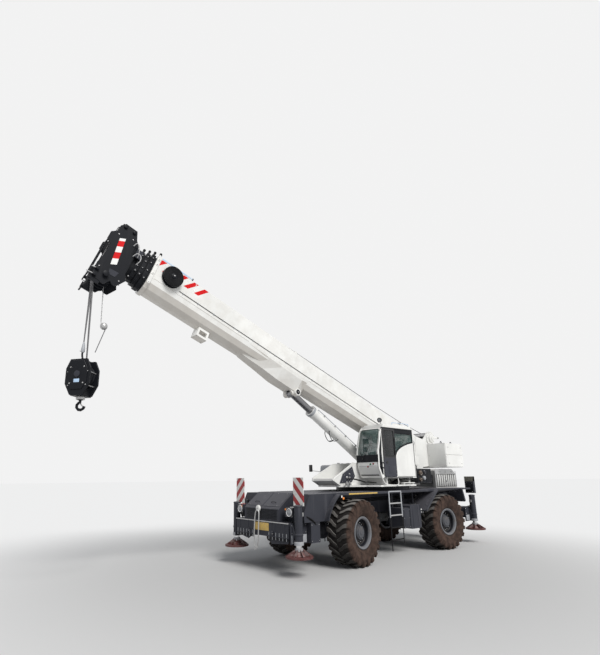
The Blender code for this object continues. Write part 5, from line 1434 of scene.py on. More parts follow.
def fit_counterweight():
    """The two slabs of the counterweight with lifting eyes, covers and bolts."""
    shape = Shape("counterweight_dressed")
    upper = [(-5.842, 3.34), (-5.842, 3.8), (-7.08, 3.8), (-7.125, 3.782), (-7.148, 3.74), (-7.148, 3.34)]
    lower = [
        (-5.842, 2.862), (-5.842, 3.334), (-7.148, 3.334), (-7.148, 2.98), (-7.12, 2.92), (-7.06, 2.875),
        (-7.0, 2.862),
    ]
    shape.plate("white", upper, "xz", -1.298, 1.298, 0.022)
    shape.plate("white", lower, "xz", -1.298, 1.298, 0.022)
    shape.block("white", (-7.1, -5.88), (-1.27, 1.27), (3.3, 3.37), 0)
    for x, y in ((-6.15, 0.95), (-6.9, 0.95), (-6.15, -0.95), (-6.9, -0.95)):
        shape.rod("charcoal", (x, y, 3.79), (x, y, 3.815), 0.07, 20)
        shape.hose("charcoal", [
            (x - 0.045, y, 3.8), (x - 0.045, y, 3.86), (x, y, 3.895), (x + 0.045, y, 3.86),
            (x + 0.045, y, 3.8),
        ], 0.014, 8, 4)
    for side in (1, -1):
        turn = turned_to((-7.145, side * 0.86, 3.1), (-1, 0, 0))
        shape.lathe("steel", [(0.0, 0.0), (0.05, 0.0), (0.05, 0.0012), (0.0, 0.0012)], turn, 20)
        shape.bolts([
            (x, side * 1.297, z)
            for x in (-6.02, -6.98)
            for z in (3.02, 3.64)
        ], (0, side, 0), 0.022, 0.014)
    # Covers on the front face, one on each side
    for side in (1, -1):
        shape.block("white", (-5.845, -5.832), beside(side, 0.53, 1.27), (2.9, 3.76), 0.006)
    places = [(-5.832, side * y, z) for side in (1, -1) for y in (0.57, 1.23) for z in (2.94, 3.33, 3.72)]
    shape.bolts(places, (1, 0, 0), 0.012, 0.008)
    shape.settle("superstructure", ("counterweight",))


def fit_winch():
    """Grooved drum, end plate, motor, cross bars and the rope's way to the boom."""
    drum = Shape("winch_drum_dressed", MACHINE @ Matrix.Translation((-6.1, 0.0, 4.08)))
    turn = Matrix.Rotation(-math.pi / 2, 4, "X")
    for side in (1, -1):
        flange = [
            (0.0, side * 0.459), (0.23, side * 0.459), (0.24, side * 0.452), (0.24, side * 0.436),
            (0.23, side * 0.429), (0.0, side * 0.425),
        ]
        drum.lathe("white", flange, turn, 36)
    wraps = [(0.0, 0.43)]
    count = 36
    for i in range(count):
        y = 0.42 - 0.84 * i / count
        wraps += [(0.192, y), (0.203, y - 0.84 / count / 2)]
    wraps += [(0.192, -0.42), (0.0, -0.43)]
    drum.lathe("cable", wraps, turn, 32)
    drum.settle("winch_drum", ("winch_drum",), 50.0, own_frame=True)

    shape = Shape("winch_fittings")
    turn = turned_to((-6.13, 0.499, 4.05), (0, 1, 0))
    plate = [
        (0.0, 0.0), (0.285, 0.0), (0.29, 0.006), (0.29, 0.03), (0.283, 0.036), (0.17, 0.036), (0.16, 0.09),
        (0.14, 0.1),
    ]
    plate += [(0.09, 0.105), (0.08, 0.13), (0.0, 0.132)]
    shape.lathe("white", plate, turn, 40)
    ring = [(-6.13 + a, 0.535, 4.05 + b) for a, b in around(12, 0.245)]
    shape.bolts(ring, (0, 1, 0), 0.014, 0.012)
    shape.block("white", (-6.72, -6.36), (0.47, 0.53), (4.05, 4.13), 0.01)
    shape.rod("steel", (-6.7, 0.46, 4.09), (-6.7, 0.56, 4.09), 0.035, 14)
    # Motor on the right, with its hoses
    turn = turned_to((-6.1, -0.499, 4.08), (0, -1, 0))
    motor = [
        (0.0, 0.0), (0.2, 0.0), (0.2, 0.03), (0.13, 0.04), (0.13, 0.22), (0.1, 0.24), (0.1, 0.34),
        (0.06, 0.36), (0.0, 0.36),
    ]
    shape.lathe("charcoal", motor, turn, 28)
    for dx in (-0.05, 0.05):
        points = [
            (-6.1 + dx, -0.8, 4.00), (-6.05 + dx, -0.82, 3.9), (-5.72 + dx, -0.72, 3.86),
            (-5.45 + dx, -0.58, 3.7), (-5.3 + dx, -0.56, 3.3),
        ]
        shape.hose("rubber", points, 0.016, 8, 5)
    # Cross bars between the cheeks, over and before the drum
    shape.rod("black", (-5.72, -0.46, 4.085), (-5.72, 0.46, 4.085), 0.025, 14)
    shape.rod("white", (-5.3, -0.46, 3.95), (-5.3, 0.46, 3.95), 0.045, 16)
    shape.settle("superstructure")

    # The rope leaves the drum's top for the roller on the boom's foot
    rope = Shape("hoist_rope_rear")
    start = Vector((-6.12, 0.1, 4.287))
    rope.hose("cable", [
        start, (-5.75, 0.1, 4.385), (-5.35, 0.1, 4.492), (-4.94, 0.1, 4.602), (-4.7, 0.1, 4.664),
    ], 0.011, 8, 4)
    piece = rope.settle(None)
    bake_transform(piece)


def fit_cylinder():
    """Rings, pipes and hoses on the lifting barrel, and the caps of its upper pin."""
    pin = Vector(joint_of("lift_rod_turn")["pos_m"])
    foot = SHIFT + Vector((-2.8, 0.0, 2.8203))
    run = pin - foot
    place = Matrix.Translation(foot) @ Matrix.Rotation(-math.atan2(run.z, run.x), 4, "Y")
    shape = Shape("lift_barrel_fittings", place)
    turn = Matrix.Rotation(math.pi / 2, 4, "Y")
    shape.lathe("white", [(0.168, 3.4), (0.182, 3.41), (0.182, 3.5), (0.168, 3.51)], turn, 36, closed=True)
    shape.lathe("grey", [
        (0.188, 3.515), (0.199, 3.52), (0.199, 3.6), (0.188, 3.607),
    ], turn, 36, closed=True)
    shape.lathe("steel", [
        (0.118, 3.606), (0.165, 3.606), (0.16, 3.6125), (0.12, 3.6125),
    ], turn, 36, closed=True)
    ring = [(3.609, a, b) for a, b in around(12, 0.178)]
    shape.bolts(ring, (1, 0, 0), 0.011, 0.004)
    shape.lathe("white", [(0.168, 0.15), (0.18, 0.16), (0.18, 0.26), (0.168, 0.28)], turn, 36, closed=True)
    for y in (0.07, -0.07):
        shape.hose("grey", [
            (0.32, y, 0.15), (0.36, y, 0.2), (0.5, y, 0.215), (1.8, y, 0.215), (3.2, y, 0.215),
            (3.32, y, 0.2), (3.36, y, 0.15),
        ], 0.013, 8, 4)
        for x in (0.6, 1.2, 1.8, 2.4, 3.0):
            shape.block("steel", (x - 0.02, x + 0.02), (y - 0.022, y + 0.022), (0.16, 0.232), 0.004)
    shape.block("steel", (0.34, 0.46), (-0.09, 0.09), (0.145, 0.19), 0.01)
    for y in (-0.1, 0.1):
        shape.hose("black", [
            (2.1, y, -0.14), (2.16, y, -0.25), (2.3, y, -0.335), (2.46, y, -0.29), (2.56, y, -0.22),
            (2.6, y, -0.14),
        ], 0.012, 8, 4)
    shape.rod("black", (2.3, -0.1, -0.335), (2.3, 0.1, -0.335), 0.012, 8)
    shape.settle("lift_barrel")
    shape = Shape("lift_pin_caps", BOOM)
    for side in (1, -1):
        turn = turned_to((5.97, side * 0.299, -0.69), (0, side, 0))
        shape.lathe("white", [
            (0.085, 0.0), (0.112, 0.0), (0.112, 0.012), (0.085, 0.014),
        ], turn, 24, closed=True)
        shape.lathe("black", [(0.0, 0.0), (0.082, 0.0), (0.08, 0.014), (0.0, 0.016)], turn, 24)
        shape.bolts([(5.97, side * 0.312, -0.69)], (0, side, 0), 0.02, 0.012)
    shape.settle("boom")


def fit_locker():
    """Doors, vents and the mirror of the right locker."""
    shape = Shape("locker_fittings")
    shape.block("white", (-1.545, -1.47), (-1.38, -0.56), (2.3, 2.345), 0.008)
    for x0, x1 in ((-3.3, -2.44), (-2.4, -1.66)):
        shape.block("grey", (x0, x1), (-1.414, -1.399), (2.32, 2.9), 0.008)
        shape.block(
            "black", ((x0 + x1) / 2 - 0.06, (x0 + x1) / 2 + 0.06), (-1.424, -1.412), (2.8, 2.83), 0.005,
        )
        for z in (2.42, 2.78):
            shape.rod("steel", (x0 + 0.02, -1.416, z - 0.04), (x0 + 0.02, -1.416, z + 0.04), 0.01, 10)
    for x, y, size in (
        (-1.8, -0.72, 0.05), (-1.95, -1.05, 0.035), (-2.1, -0.8, 0.045), (-2.6, -0.95, 0.06),
    ):
        shape.rod("grey", (x, y, 2.955), (x, y, 2.955 + size * 1.4), size, 16)
    shape.bolts([(-1.535, y, 2.44) for y in (-1.34, -0.97, -0.6)], (1, 0, 0), 0.011, 0.01)
    arm = [(-1.58, -1.36, 2.7), (-1.48, -1.46, 2.73), (-1.37, -1.64, 2.76), (-1.345, -1.7, 2.8)]
    shape.hose("white", arm, 0.014, 10, 5)
    shape.block("plastic", (-1.37, -1.32), (-1.79, -1.64), (2.72, 2.98), 0.022)
    shape.block("mirror", (-1.374, -1.368), (-1.77, -1.66), (2.745, 2.955), 0.004)
    shape.settle("superstructure")


def fit_cooler():
    """Louvres, round housings and hoses of the oil cooler."""
    shape = Shape("cooler_fittings")
    for i in range(9):
        z = 2.32 + 0.05 * i
        shape.block("black", (-5.2, -4.92), (0.918, 0.93), (z, z + 0.022), 0.004)
    shape.block("charcoal", (-5.222, -4.9), (0.915, 0.922), (2.285, 2.3), 0.003)
    for x in (-5.21, -4.905):
        shape.block("charcoal", (x - 0.012, x + 0.012), (0.915, 0.932), (2.285, 2.795), 0.003)
    # Round housings beside the louvres
    for x, z, radius, kind in (
        (-4.48, 2.64, 0.095, "bronze"), (-4.7, 2.46, 0.075, "grey"), (-4.46, 2.4, 0.07, "bronze"),
        (-4.72, 2.68, 0.06, "charcoal"),
    ):
        turn = turned_to((x, 0.915, z), (0, 1, 0))
        profile = [
            (0.0, 0.0), (radius, 0.0), (radius, 0.05), (radius * 0.88, 0.065), (radius * 0.45, 0.07),
            (radius * 0.4, 0.085), (0.0, 0.088),
        ]
        shape.lathe(kind, profile, turn, 28)
        ring = [(x + a, 0.98, z + b) for a, b in around(6, radius * 0.7)]
        shape.bolts(ring, (0, 1, 0), 0.009, 0.008)
    for k in range(3):
        points = [
            (-4.46 - 0.09 * k, 0.7, 2.78), (-4.44 - 0.09 * k, 0.7, 2.92), (-4.4 - 0.08 * k, 0.62, 3.00),
            (-4.36 - 0.08 * k, 0.53, 2.95),
        ]
        shape.hose("rubber", points, 0.016, 8, 5)
    shape.settle("superstructure")


class CRANE_OT_superstructure(bpy.types.Operator):
    """Paints and fits out the turntable, counterweight, winch and lifting cylinder"""

    bl_idname = "crane.superstructure"
    bl_label = "Dress the superstructure"

    def execute(self, context):
        for name in ("turntable", "lift_barrel"):
            coat_node(name, "white")
        # The white right locker is coated pale grey: painted shade on its faces
        coat_node("right_locker", "grey")
        coat_node("oil_cooler", "black")
        coat_node("lift_rod", "rod")
        fit_turntable()
        fit_counterweight()
        fit_winch()
        fit_cylinder()
        fit_locker()
        fit_cooler()
        return {"FINISHED"}


# The cab's front line seen from the side: level and station
CAB_FRONT_LINE = ((2.47, -1.49), (2.81, -1.33), (3.37, -1.35), (4.00, -1.53), (4.12, -1.62), (4.2, -1.7))


def cab_front(z):
    """Station of the cab's front at a level."""
    for (z0, x0), (z1, x1) in zip(CAB_FRONT_LINE, CAB_FRONT_LINE[1:]):
        if z <= z1:
            return x0 + (x1 - x0) * max(z - z0, 0.0) / (z1 - z0)
    return CAB_FRONT_LINE[-1][1]


def fit_panels():
    """The cab's panels, pillars, roof and windscreen surround."""
    shape = Shape("cab_panels")
    side = [
        (-3.44, 2.47), (-1.49, 2.47), (-1.33, 2.81), (-1.35, 3.37), (-1.53, 4.00), (-1.62, 4.12),
        (-1.7, 4.19), (-3.36, 4.19), (-3.44, 4.11),
    ]
    # Left side: white rear panel, sill, black frame around door and quarter glass, pillar strips
    rear = [
        (-3.44, 2.5), (-2.35, 2.5), (-2.27, 2.54), (-2.25, 2.62), (-2.25, 2.8), (-2.28, 3.02),
        (-2.33, 3.18),
    ]
    rear += [
        (-2.42, 3.33), (-2.54, 3.42), (-2.7, 3.5), (-2.87, 3.56), (-3.05, 3.61), (-3.25, 3.65),
        (-3.44, 3.68),
    ]
    shape.plate("white", rear, "xz", 1.385, 1.43, 0.012)
    # The frame's outline: below the quarter glass, up the door's edge and back over the glass
    frame = [
        (-3.43, 3.6), (-3.05, 3.54), (-2.7, 3.43), (-2.46, 3.28), (-2.36, 3.06), (-2.34, 2.6),
        (-2.28, 2.55),
    ]
    frame += [(-2.235, 2.6), (-2.235, 4.06), (-2.31, 4.06), (-2.31, 3.16), (-2.42, 3.38), (-2.7, 3.55)]
    frame += [(-3.05, 3.66), (-3.38, 3.72), (-3.38, 3.97), (-2.31, 3.97), (-2.31, 4.03), (-3.43, 4.03)]
    shape.plate("black", frame, "xz", 1.375, 1.42, 0)
    shape.plate("white", [
        (-3.44, 2.47), (-1.49, 2.47), (-1.43, 2.59), (-1.62, 2.59), (-1.64, 2.53), (-3.44, 2.53),
    ], "xz", 1.37, 1.43, 0.006)
    shape.plate("black", [
        (-3.44, 4.00), (-1.53, 4.00), (-1.62, 4.12), (-1.66, 4.145), (-3.38, 4.145), (-3.44, 4.1),
    ], "xz", 1.38, 1.426, 0.006)
    outer = [(-1.49, 2.47), (-1.33, 2.81), (-1.35, 3.37), (-1.53, 4.00), (-1.62, 4.12)]
    inner = [(-1.68, 4.1), (-1.59, 3.98), (-1.412, 3.37), (-1.392, 2.83), (-1.545, 2.5)]
    shape.plate("white", outer + inner, "xz", 1.375, 1.432, 0.008)
    middle = [(-1.55, 2.52), (-1.4, 2.84), (-1.42, 3.37), (-1.595, 3.97), (-1.64, 3.97), (-1.64, 2.52)]
    shape.plate("black", middle, "xz", 1.37, 1.415, 0.004)
    shape.plate("white", [
        (-1.6, 2.6), (-1.575, 2.6), (-1.54, 3.3), (-1.6, 3.96), (-1.64, 3.96), (-1.6, 3.3),
    ], "xz", 1.38, 1.434, 0.004)
    for z in (2.8, 2.96):
        shape.rod("black", (-1.49, 1.435, z - 0.04), (-1.49, 1.435, z + 0.04), 0.02, 12)
        shape.block("black", (-1.6, -1.48), (1.43, 1.442), (z - 0.02, z + 0.02), 0.004)
    # Right side, rear and roof: each a panel with its opening
    opening = [
        (-3.28, 3.02), (-1.62, 3.02), (-1.5, 3.1), (-1.5, 3.38), (-1.66, 3.92), (-1.71, 4.00),
        (-1.76, 4.03), (-3.24, 4.03), (-3.28, 3.99),
    ]
    shape.ring("white", side, opening, "xz", 0.53, 0.575)
    outer = rounded_box(0.53, 1.43, 2.47, 4.17, 0.03)
    shape.ring("white", outer, rounded_box(0.66, 1.3, 3.25, 3.96, 0.08), "yz", -3.44, -3.395)
    outer = rounded_box(-3.43, -1.67, 0.53, 1.43, 0.03)
    shape.ring("white", outer, rounded_box(-2.9, -1.85, 0.7, 1.26, 0.08), "xy", 4.145, 4.198)
    shape.block("charcoal", (-3.4, -1.5), (0.56, 1.4), (2.472, 2.52), 0.006)
    # Windscreen's surround, the black band under the glass and the white front panel
    outer = rounded_box(0.53, 1.43, 3.13, 4.13, 0.02)
    inner = rounded_box(0.562, 1.385, 3.17, 4.095, 0.11)
    shape.ring("white", outer, inner, "yz", -0.045, 0.0, warp=lambda x, y, z: (x + cab_front(z), y, z))
    shape.grid("black", 0.535, 1.425, along(2.985, 3.225, 5), 0.008, 0.05)
    shape.grid("white", 0.54, 1.42, [2.475, 2.62, 2.81, 2.9, 2.99], 0.0, 0.05)
    for z in (2.6, 2.86):
        x = cab_front(z)
        shape.block("grey", (x - 0.004, x + 0.004), (0.62, 1.34), (z - 0.006, z + 0.006), 0.002)
    for y, z, kind in ((1.1, 2.92, "green_lens"), (1.22, 2.93, "red_lens"), (1.00, 2.84, "red_lens")):
        turn = turned_to((cab_front(z) - 0.004, y, z), (1, 0, 0))
        shape.lathe("black", [
            (0.0, 0.0), (0.03, 0.0), (0.03, 0.012), (0.022, 0.016), (0.0, 0.016),
        ], turn, 16)
        shape.lathe(kind, [(0.0, 0.0), (0.021, 0.01), (0.019, 0.026), (0.0, 0.03)], turn, 16)
    shape.settle("superstructure", ("cab_shell",))


def fit_glass():
    """The cab's panes, apart from the door's."""
    shape = Shape("cab_glass")
    shape.grid("glass", 0.552, 1.395, along(3.16, 4.105, 9), -0.02, 0.006)
    shape.plate("glass", [
        (-3.41, 3.69), (-3.05, 3.63), (-2.7, 3.52), (-2.42, 3.35), (-2.29, 3.1), (-2.29, 3.99),
        (-3.41, 3.99),
    ], "xz", 1.39, 1.396, 0)
    shape.plate("glass", [
        (-3.32, 3.00), (-1.6, 3.00), (-1.46, 3.1), (-1.46, 3.38), (-1.62, 3.94), (-1.72, 4.06),
        (-3.28, 4.06),
    ], "xz", 0.546, 0.552, 0)
    shape.block("glass", (-3.42, -3.414), (0.63, 1.33), (3.21, 4.00), 0.001)
    shape.block("glass", (-2.93, -1.82), (0.67, 1.29), (4.168, 4.174), 0.001)
    shape.settle("superstructure", crease=60.0)


def fit_door():
    """The sliding door with its pane, handle and rails."""
    shape = Shape("cab_door_dressed")
    shape.ring(
        "plastic", rounded_box(-2.28, -1.6, 3.1, 4.1, 0.05),
        rounded_box(-2.215, -1.665, 3.175, 4.035, 0.06), "xz", 1.434, 1.462,
    )
    lower = [(-2.28, 3.13), (-2.28, 2.55), (-2.24, 2.51), (-1.64, 2.51), (-1.6, 2.55), (-1.6, 3.13)]
    shape.plate("trim", lower, "xz", 1.434, 1.464, 0.008)
    shape.block("trim", (-2.2, -1.82), (1.46, 1.47), (2.6, 2.86), 0.008)
    shape.block("dark_glass", (-2.23, -1.65), (1.444, 1.45), (3.15, 4.05), 0.001)
    turn = turned_to((-1.76, 1.462, 2.98), (0, 1, 0))
    shape.lathe("plastic", [
        (0.0, 0.0), (0.055, 0.0), (0.055, 0.01), (0.045, 0.016), (0.03, 0.01), (0.0, 0.01),
    ], turn, 24)
    shape.block("plastic", (-1.8, -1.72), (1.468, 1.486), (2.967, 2.993), 0.006)
    shape.block("plastic", (-2.27, -2.245), (1.462, 1.475), (3.25, 3.8), 0.005)
    shape.bolts([(-2.24, 1.464, z) for z in (2.6, 2.75)], (0, 1, 0), 0.01, 0.006)
    shape.settle("cab_door", ("cab_door",))
    rails = Shape("door_rails")
    for z in (2.496, 4.112):
        rails.block("black", (-3.2, -1.58), (1.43, 1.446), (z - 0.012, z + 0.008), 0.003)
    rails.settle("superstructure")


def fit_inside():
    """Dash, steering wheel, consoles, screens and pedals."""
    shape = Shape("cab_inside")
    dash = [
        (-1.44, 2.55), (-1.4, 2.95), (-1.42, 3.16), (-1.5, 3.2), (-1.66, 3.1), (-1.7, 3.00), (-1.62, 2.9),
        (-1.6, 2.55),
    ]
    shape.plate("plastic", dash, "xz", 0.6, 1.36, 0.012)
    shape.plate("trim", [(-1.52, 3.195), (-1.6, 3.33), (-1.66, 3.31), (-1.66, 3.1)], "xz", 0.84, 1.12, 0.01)
    # Steering column and wheel
    shape.rod("plastic", (-1.62, 0.98, 2.9), (-1.86, 0.98, 3.2), 0.035, 14)
    turn = turned_to((-1.87, 0.98, 3.215), (-0.62, 0, 0.78))
    rim = [(0.19 + a, b) for a, b in around(8, 0.016)]
    shape.lathe("rubber", rim, turn, 32, closed=True)
    shape.lathe("plastic", [(0.0, -0.03), (0.05, -0.03), (0.045, 0.012), (0.0, 0.016)], turn, 20)
    for angle in (0.0, 2.1, 4.2):
        end = turn @ Vector((0.19 * math.cos(angle), 0.19 * math.sin(angle), 0.0))
        shape.rod("plastic", turn @ Vector((0, 0, -0.01)), end, 0.01, 8)
    # Consoles with their levers
    for y in (0.63, 1.3):
        shape.block("plastic", (-2.95, -2.3), (y - 0.045, y + 0.045), (2.52, 2.99), 0.02)
        shape.block("trim", (-2.98, -2.42), (y - 0.05, y + 0.05), (2.99, 3.05), 0.022)
        shape.rod("steel", (-2.36, y, 2.98), (-2.33, y, 3.14), 0.008, 8)
        shape.lathe(
            "plastic", [(0.0, 0.0), (0.022, 0.01), (0.026, 0.05), (0.018, 0.085), (0.0, 0.09)],
            Matrix.Translation((-2.33, y, 3.12)), 14,
        )
    # Screens at the right front pillar, and pedals
    shape.rod("plastic", (-1.56, 0.64, 3.18), (-1.6, 0.7, 3.78), 0.014, 10)
    shape.block("plastic", (-1.64, -1.6), (0.62, 0.86), (3.6, 3.8), 0.012)
    shape.block("plastic", (-1.6, -1.56), (0.64, 0.82), (3.34, 3.5), 0.012)
    for y in (0.86, 1.08):
        shape.plate(
            "steel", [(-1.74, 2.54), (-1.66, 2.66), (-1.65, 2.652), (-1.73, 2.53)], "xz", y - 0.045,
            y + 0.045, 0.002,
        )
    shape.block("trim", (-3.38, -3.2), (0.6, 1.36), (2.52, 2.98), 0.02)
    shape.block("white", (-3.3, -1.78), (0.6, 1.36), (4.105, 4.14), 0.01)
    shape.settle("superstructure")


def fit_seat():
    """Seat pedestal, then cushion and back, each a crowned pad of its own."""
    frame = Shape("seat_frame")
    frame.block("plastic", (-3.00, -2.66), (0.82, 1.14), (2.521, 2.8), 0.02)
    frame.block("plastic", (-3.08, -2.6), (0.78, 1.18), (2.79, 2.83), 0.012)
    frame.plate("plastic", [
        (-3.13, 2.8), (-3.05, 2.8), (-3.2, 3.62), (-3.25, 3.62),
    ], "xz", 0.8, 1.16, 0.012)
    frame.settle("superstructure", ("operator_seat",))
    # pad: name, middle, half sizes, lean
    pads = (
        ("seat_cushion", (-2.84, 0.98, 2.895), (0.265, 0.235, 0.07), 0.05),
        ("seat_back", (-3.075, 0.98, 3.25), (0.065, 0.225, 0.33), -0.2),
        ("seat_headrest", (-3.165, 0.98, 3.68), (0.05, 0.14, 0.09), -0.2),
    )
    for name, middle, half, lean in pads:
        pad = Shape(name)
        pad.pad("cloth", middle, half, lean)
        piece = pad.settle("superstructure", crease=70.0)


def fit_outside():
    """Wiper, roof cap, work lamp and rail on the cab."""
    shape = Shape("cab_fittings")
    # Wiper across the windscreen, from its motor on the black band
    x = cab_front(3.1) + 0.016
    shape.rod("plastic", (x - 0.02, 0.8, 3.1), (x + 0.02, 0.8, 3.1), 0.022, 12)
    tip_z = 3.62
    shape.rod("plastic", (x + 0.012, 0.8, 3.1), (cab_front(tip_z) + 0.022, 1.12, tip_z), 0.007, 8)
    shape.rod(
        "plastic", (cab_front(3.4) + 0.012, 1.18, 3.4), (cab_front(3.86) + 0.012, 1.08, 3.86), 0.008, 8,
    )
    # Roof cap, work lamp on its post and the handrail on the roof
    shape.block("white", (-3.39, -1.74), (0.6, 1.405), (4.19, 4.262), 0.03)
    shape.rod("silver", (-1.8, 1.3, 4.19), (-1.76, 1.3, 4.36), 0.016, 12)
    turn = turned_to((-1.79, 1.3, 4.4), (1, 0, -0.15))
    shape.lathe("plastic", [
        (0.0, 0.0), (0.045, 0.0), (0.075, 0.03), (0.082, 0.085), (0.072, 0.09), (0.066, 0.06), (0.0, 0.055),
    ], turn, 24)
    shape.lathe("lens", [(0.0, 0.06), (0.066, 0.06), (0.06, 0.075), (0.0, 0.08)], turn, 24)
    rail = [
        (-2.35, 1.34, 4.24), (-2.36, 1.34, 4.32), (-2.44, 1.34, 4.345), (-3.25, 1.34, 4.345),
        (-3.32, 1.34, 4.32), (-3.33, 1.34, 4.24),
    ]
    shape.hose("pale_blue", rail, 0.011, 8, 4)
    shape.block("white", (-3.3, -3.05), (0.7, 1.2), (4.19, 4.25), 0.02)
    # Seam of the rear side panel
    shape.block("white", (-2.985, -2.98), (1.426, 1.4315), (2.56, 3.52), 0.001)
    shape.settle("superstructure")


class CRANE_OT_cab(bpy.types.Operator):
    """Builds the cab's panels, glass, door and inside"""

    bl_idname = "crane.cab"
    bl_label = "Build the cab"

    def execute(self, context):
        fit_panels()
        fit_glass()
        fit_door()
        fit_inside()
        fit_seat()
        fit_outside()
        return {"FINISHED"}


def fit_bars():
    """The slanted red bars on both sides of the base section's front end."""
    shape = Shape("boom_bars", BOOM)
    for side in (1, -1):
        y = beside(side, 0.3595, 0.3612)
        for k in range(6):
            right = 10.46 + 0.35 * k
            bar = clipped([
                (right, 0.18), (right - 0.145, 0.18), (right - 0.4, 0.485), (right - 0.255, 0.485),
            ], 11.63)
            if len(bar) > 2:
                shape.plate("red", bar, "xz", *y, 0)
    shape.settle("boom")


def fit_cable():
    """The cable along the crease with its clips, the weld lines and the hoist rope on top."""
    shape = Shape("boom_fittings", BOOM)
    for side in (1, -1):
        # The bent-up bottom shell's weld
        shape.rod("boom_white", (-0.3, side * 0.3605, -0.152), (5.7, side * 0.3605, -0.152), 0.006, 6)
        shape.rod("boom_white", (8.3, side * 0.3605, -0.152), (11.6, side * 0.3605, -0.152), 0.006, 6)
    path = [(10.85, 0.368, -0.05)] + [
        (u, 0.368, -0.05 - 0.004 * (k % 2))
        for k, u in enumerate(along(10.2, 1.0, 12))
    ]
    path += [(0.45, 0.372, -0.02), (0.2, 0.4, -0.15)]
    shape.hose("rubber", path, 0.009, 8, 3)
    clips = (
        10.73, 10.23, 9.67, 9.34, 8.92, 8.73, 8.18, 7.97, 7.47, 7.26, 6.77, 6.55, 6.14, 5.56, 4.56, 3.87,
        3.15, 2.39,
    )
    for u in clips:
        shape.block("grey", (u - 0.014, u + 0.014), (0.358, 0.38), (-0.075, -0.03), 0.004)
    # Pale-blue strip along the top edge, its knob and the hinge line
    shape.block("pale_blue", (10.61, 11.62), (0.335, 0.352), (0.515, 0.555), 0.006)
    shape.rod("black", (10.63, 0.34, 0.51), (10.63, 0.34, 0.57), 0.02, 12)
    shape.rod("boom_white", (10.48, 0.363, 0.24), (10.48, 0.363, 0.475), 0.008, 8)
    # Bolts of the bracket under the boom
    shape.bolts([(u, y, -0.8) for u in (9.53, 9.83) for y in (-0.12, 0.12)], (0, 0, -1), 0.014, 0.01)
    # Hoist rope over its rollers
    rope = [
        (0.341, 0.1, 0.79), (2.01, 0.1, 0.735), (4.2, 0.1, 0.7), (6.37, 0.1, 0.67), (8.4, 0.1, 0.6),
        (10.39, 0.1, 0.575), (11.6, 0.1, 0.56),
    ]
    shape.hose("cable", rope, 0.011, 8, 1)
    # roller stand: station, level of the rope
    for u, level in ((0.341, 0.79), (6.37, 0.67), (10.39, 0.575)):
        for y in (0.02, 0.18):
            foot = [
                (u - 0.09, 0.508), (u + 0.09, 0.508), (u + 0.035, level - 0.01), (u - 0.035, level - 0.01),
            ]
            shape.plate("boom_white", foot, "xz", y - 0.006, y + 0.006, 0.002)
        radius = min(0.05, (level - 0.51) * 0.45)
        roller = turned_to((u, 0.1, level - 0.011 - radius), (0, 1, 0))
        shape.lathe("steel", [
            (0.0, -0.07), (radius, -0.07), (radius * 0.9, 0.0), (radius, 0.07), (0.0, 0.07),
        ], roller, 20)
    # Pale fittings on top of the boom's foot
    shape.block("white", (-0.3, 0.1), (-0.16, 0.16), (0.508, 0.55), 0.012)
    for y in (-0.08, 0.08):
        shape.rod("chrome", (-0.22, y, 0.54), (-0.22, y, 0.6), 0.03, 14)
        shape.hose("rubber", [
            (-0.22, y, 0.59), (-0.24, y, 0.66), (-0.36, y, 0.64), (-0.43, y, 0.5), (-0.44, y, 0.3),
        ], 0.016, 8, 4)
    for y in (-0.22, -0.27):
        shape.hose("rubber", [
            (-0.1, y, 0.525), (1.5, y, 0.528), (3.4, y, 0.525), (5.2, y, 0.528),
        ], 0.014, 8, 3)
    # Tail frame
    shape.block("boom_white", (-0.424, -0.4), (-0.3, 0.3), (-0.45, 0.4), 0.008)
    shape.bolts([
        (-0.424, y, w)
        for y in (-0.26, 0.26)
        for w in (-0.38, 0.0, 0.34)
    ], (-1, 0, 0), 0.014, 0.012)
    shape.settle("boom")


def fit_collars():
    """Pad adjusters and their plates on each section's front collar."""
    # Each section's half width, top and bottom
    halves = ((0.36, 0.51, -0.55), (0.325, 0.47, -0.505), (0.29, 0.43, -0.46), (0.255, 0.39, -0.415))
    for number, (half, top, bottom) in enumerate(halves):
        body = "boom" if number == 0 else "section_%d" % (number + 1)
        start = 11.65 if number == 0 else 11.67 + 0.13 * number
        shape = Shape("collar_fittings_%d" % (number + 1), BOOM)
        kind = "boom_white" if number == 0 else "black"
        u = start + 0.05
        for side in (1, -1):
            turn = turned_to((u, side * (half - 0.06), top + 0.1), (0, 0, 1))
            shape.lathe("rubber", [
                (0.0, 0.0), (0.034, 0.0), (0.036, 0.02), (0.036, 0.05), (0.028, 0.062), (0.0, 0.064),
            ], turn, 16)
            for w in (top - 0.1, top - 0.26, -0.05, bottom + 0.2):
                shape.block(
                    kind, (u - 0.032, u + 0.032), beside(side, half + 0.028, half + 0.04),
                    (w - 0.035, w + 0.035), 0.004,
                )
                shape.bolts([(u, side * (half + 0.04), w)], (0, side, 0), 0.014, 0.012)
        shape.bolts([(u, y, top + 0.03) for y in (-0.12, 0.0, 0.12)], (0, 0, 1), 0.012, 0.01)
        shape.settle(body)


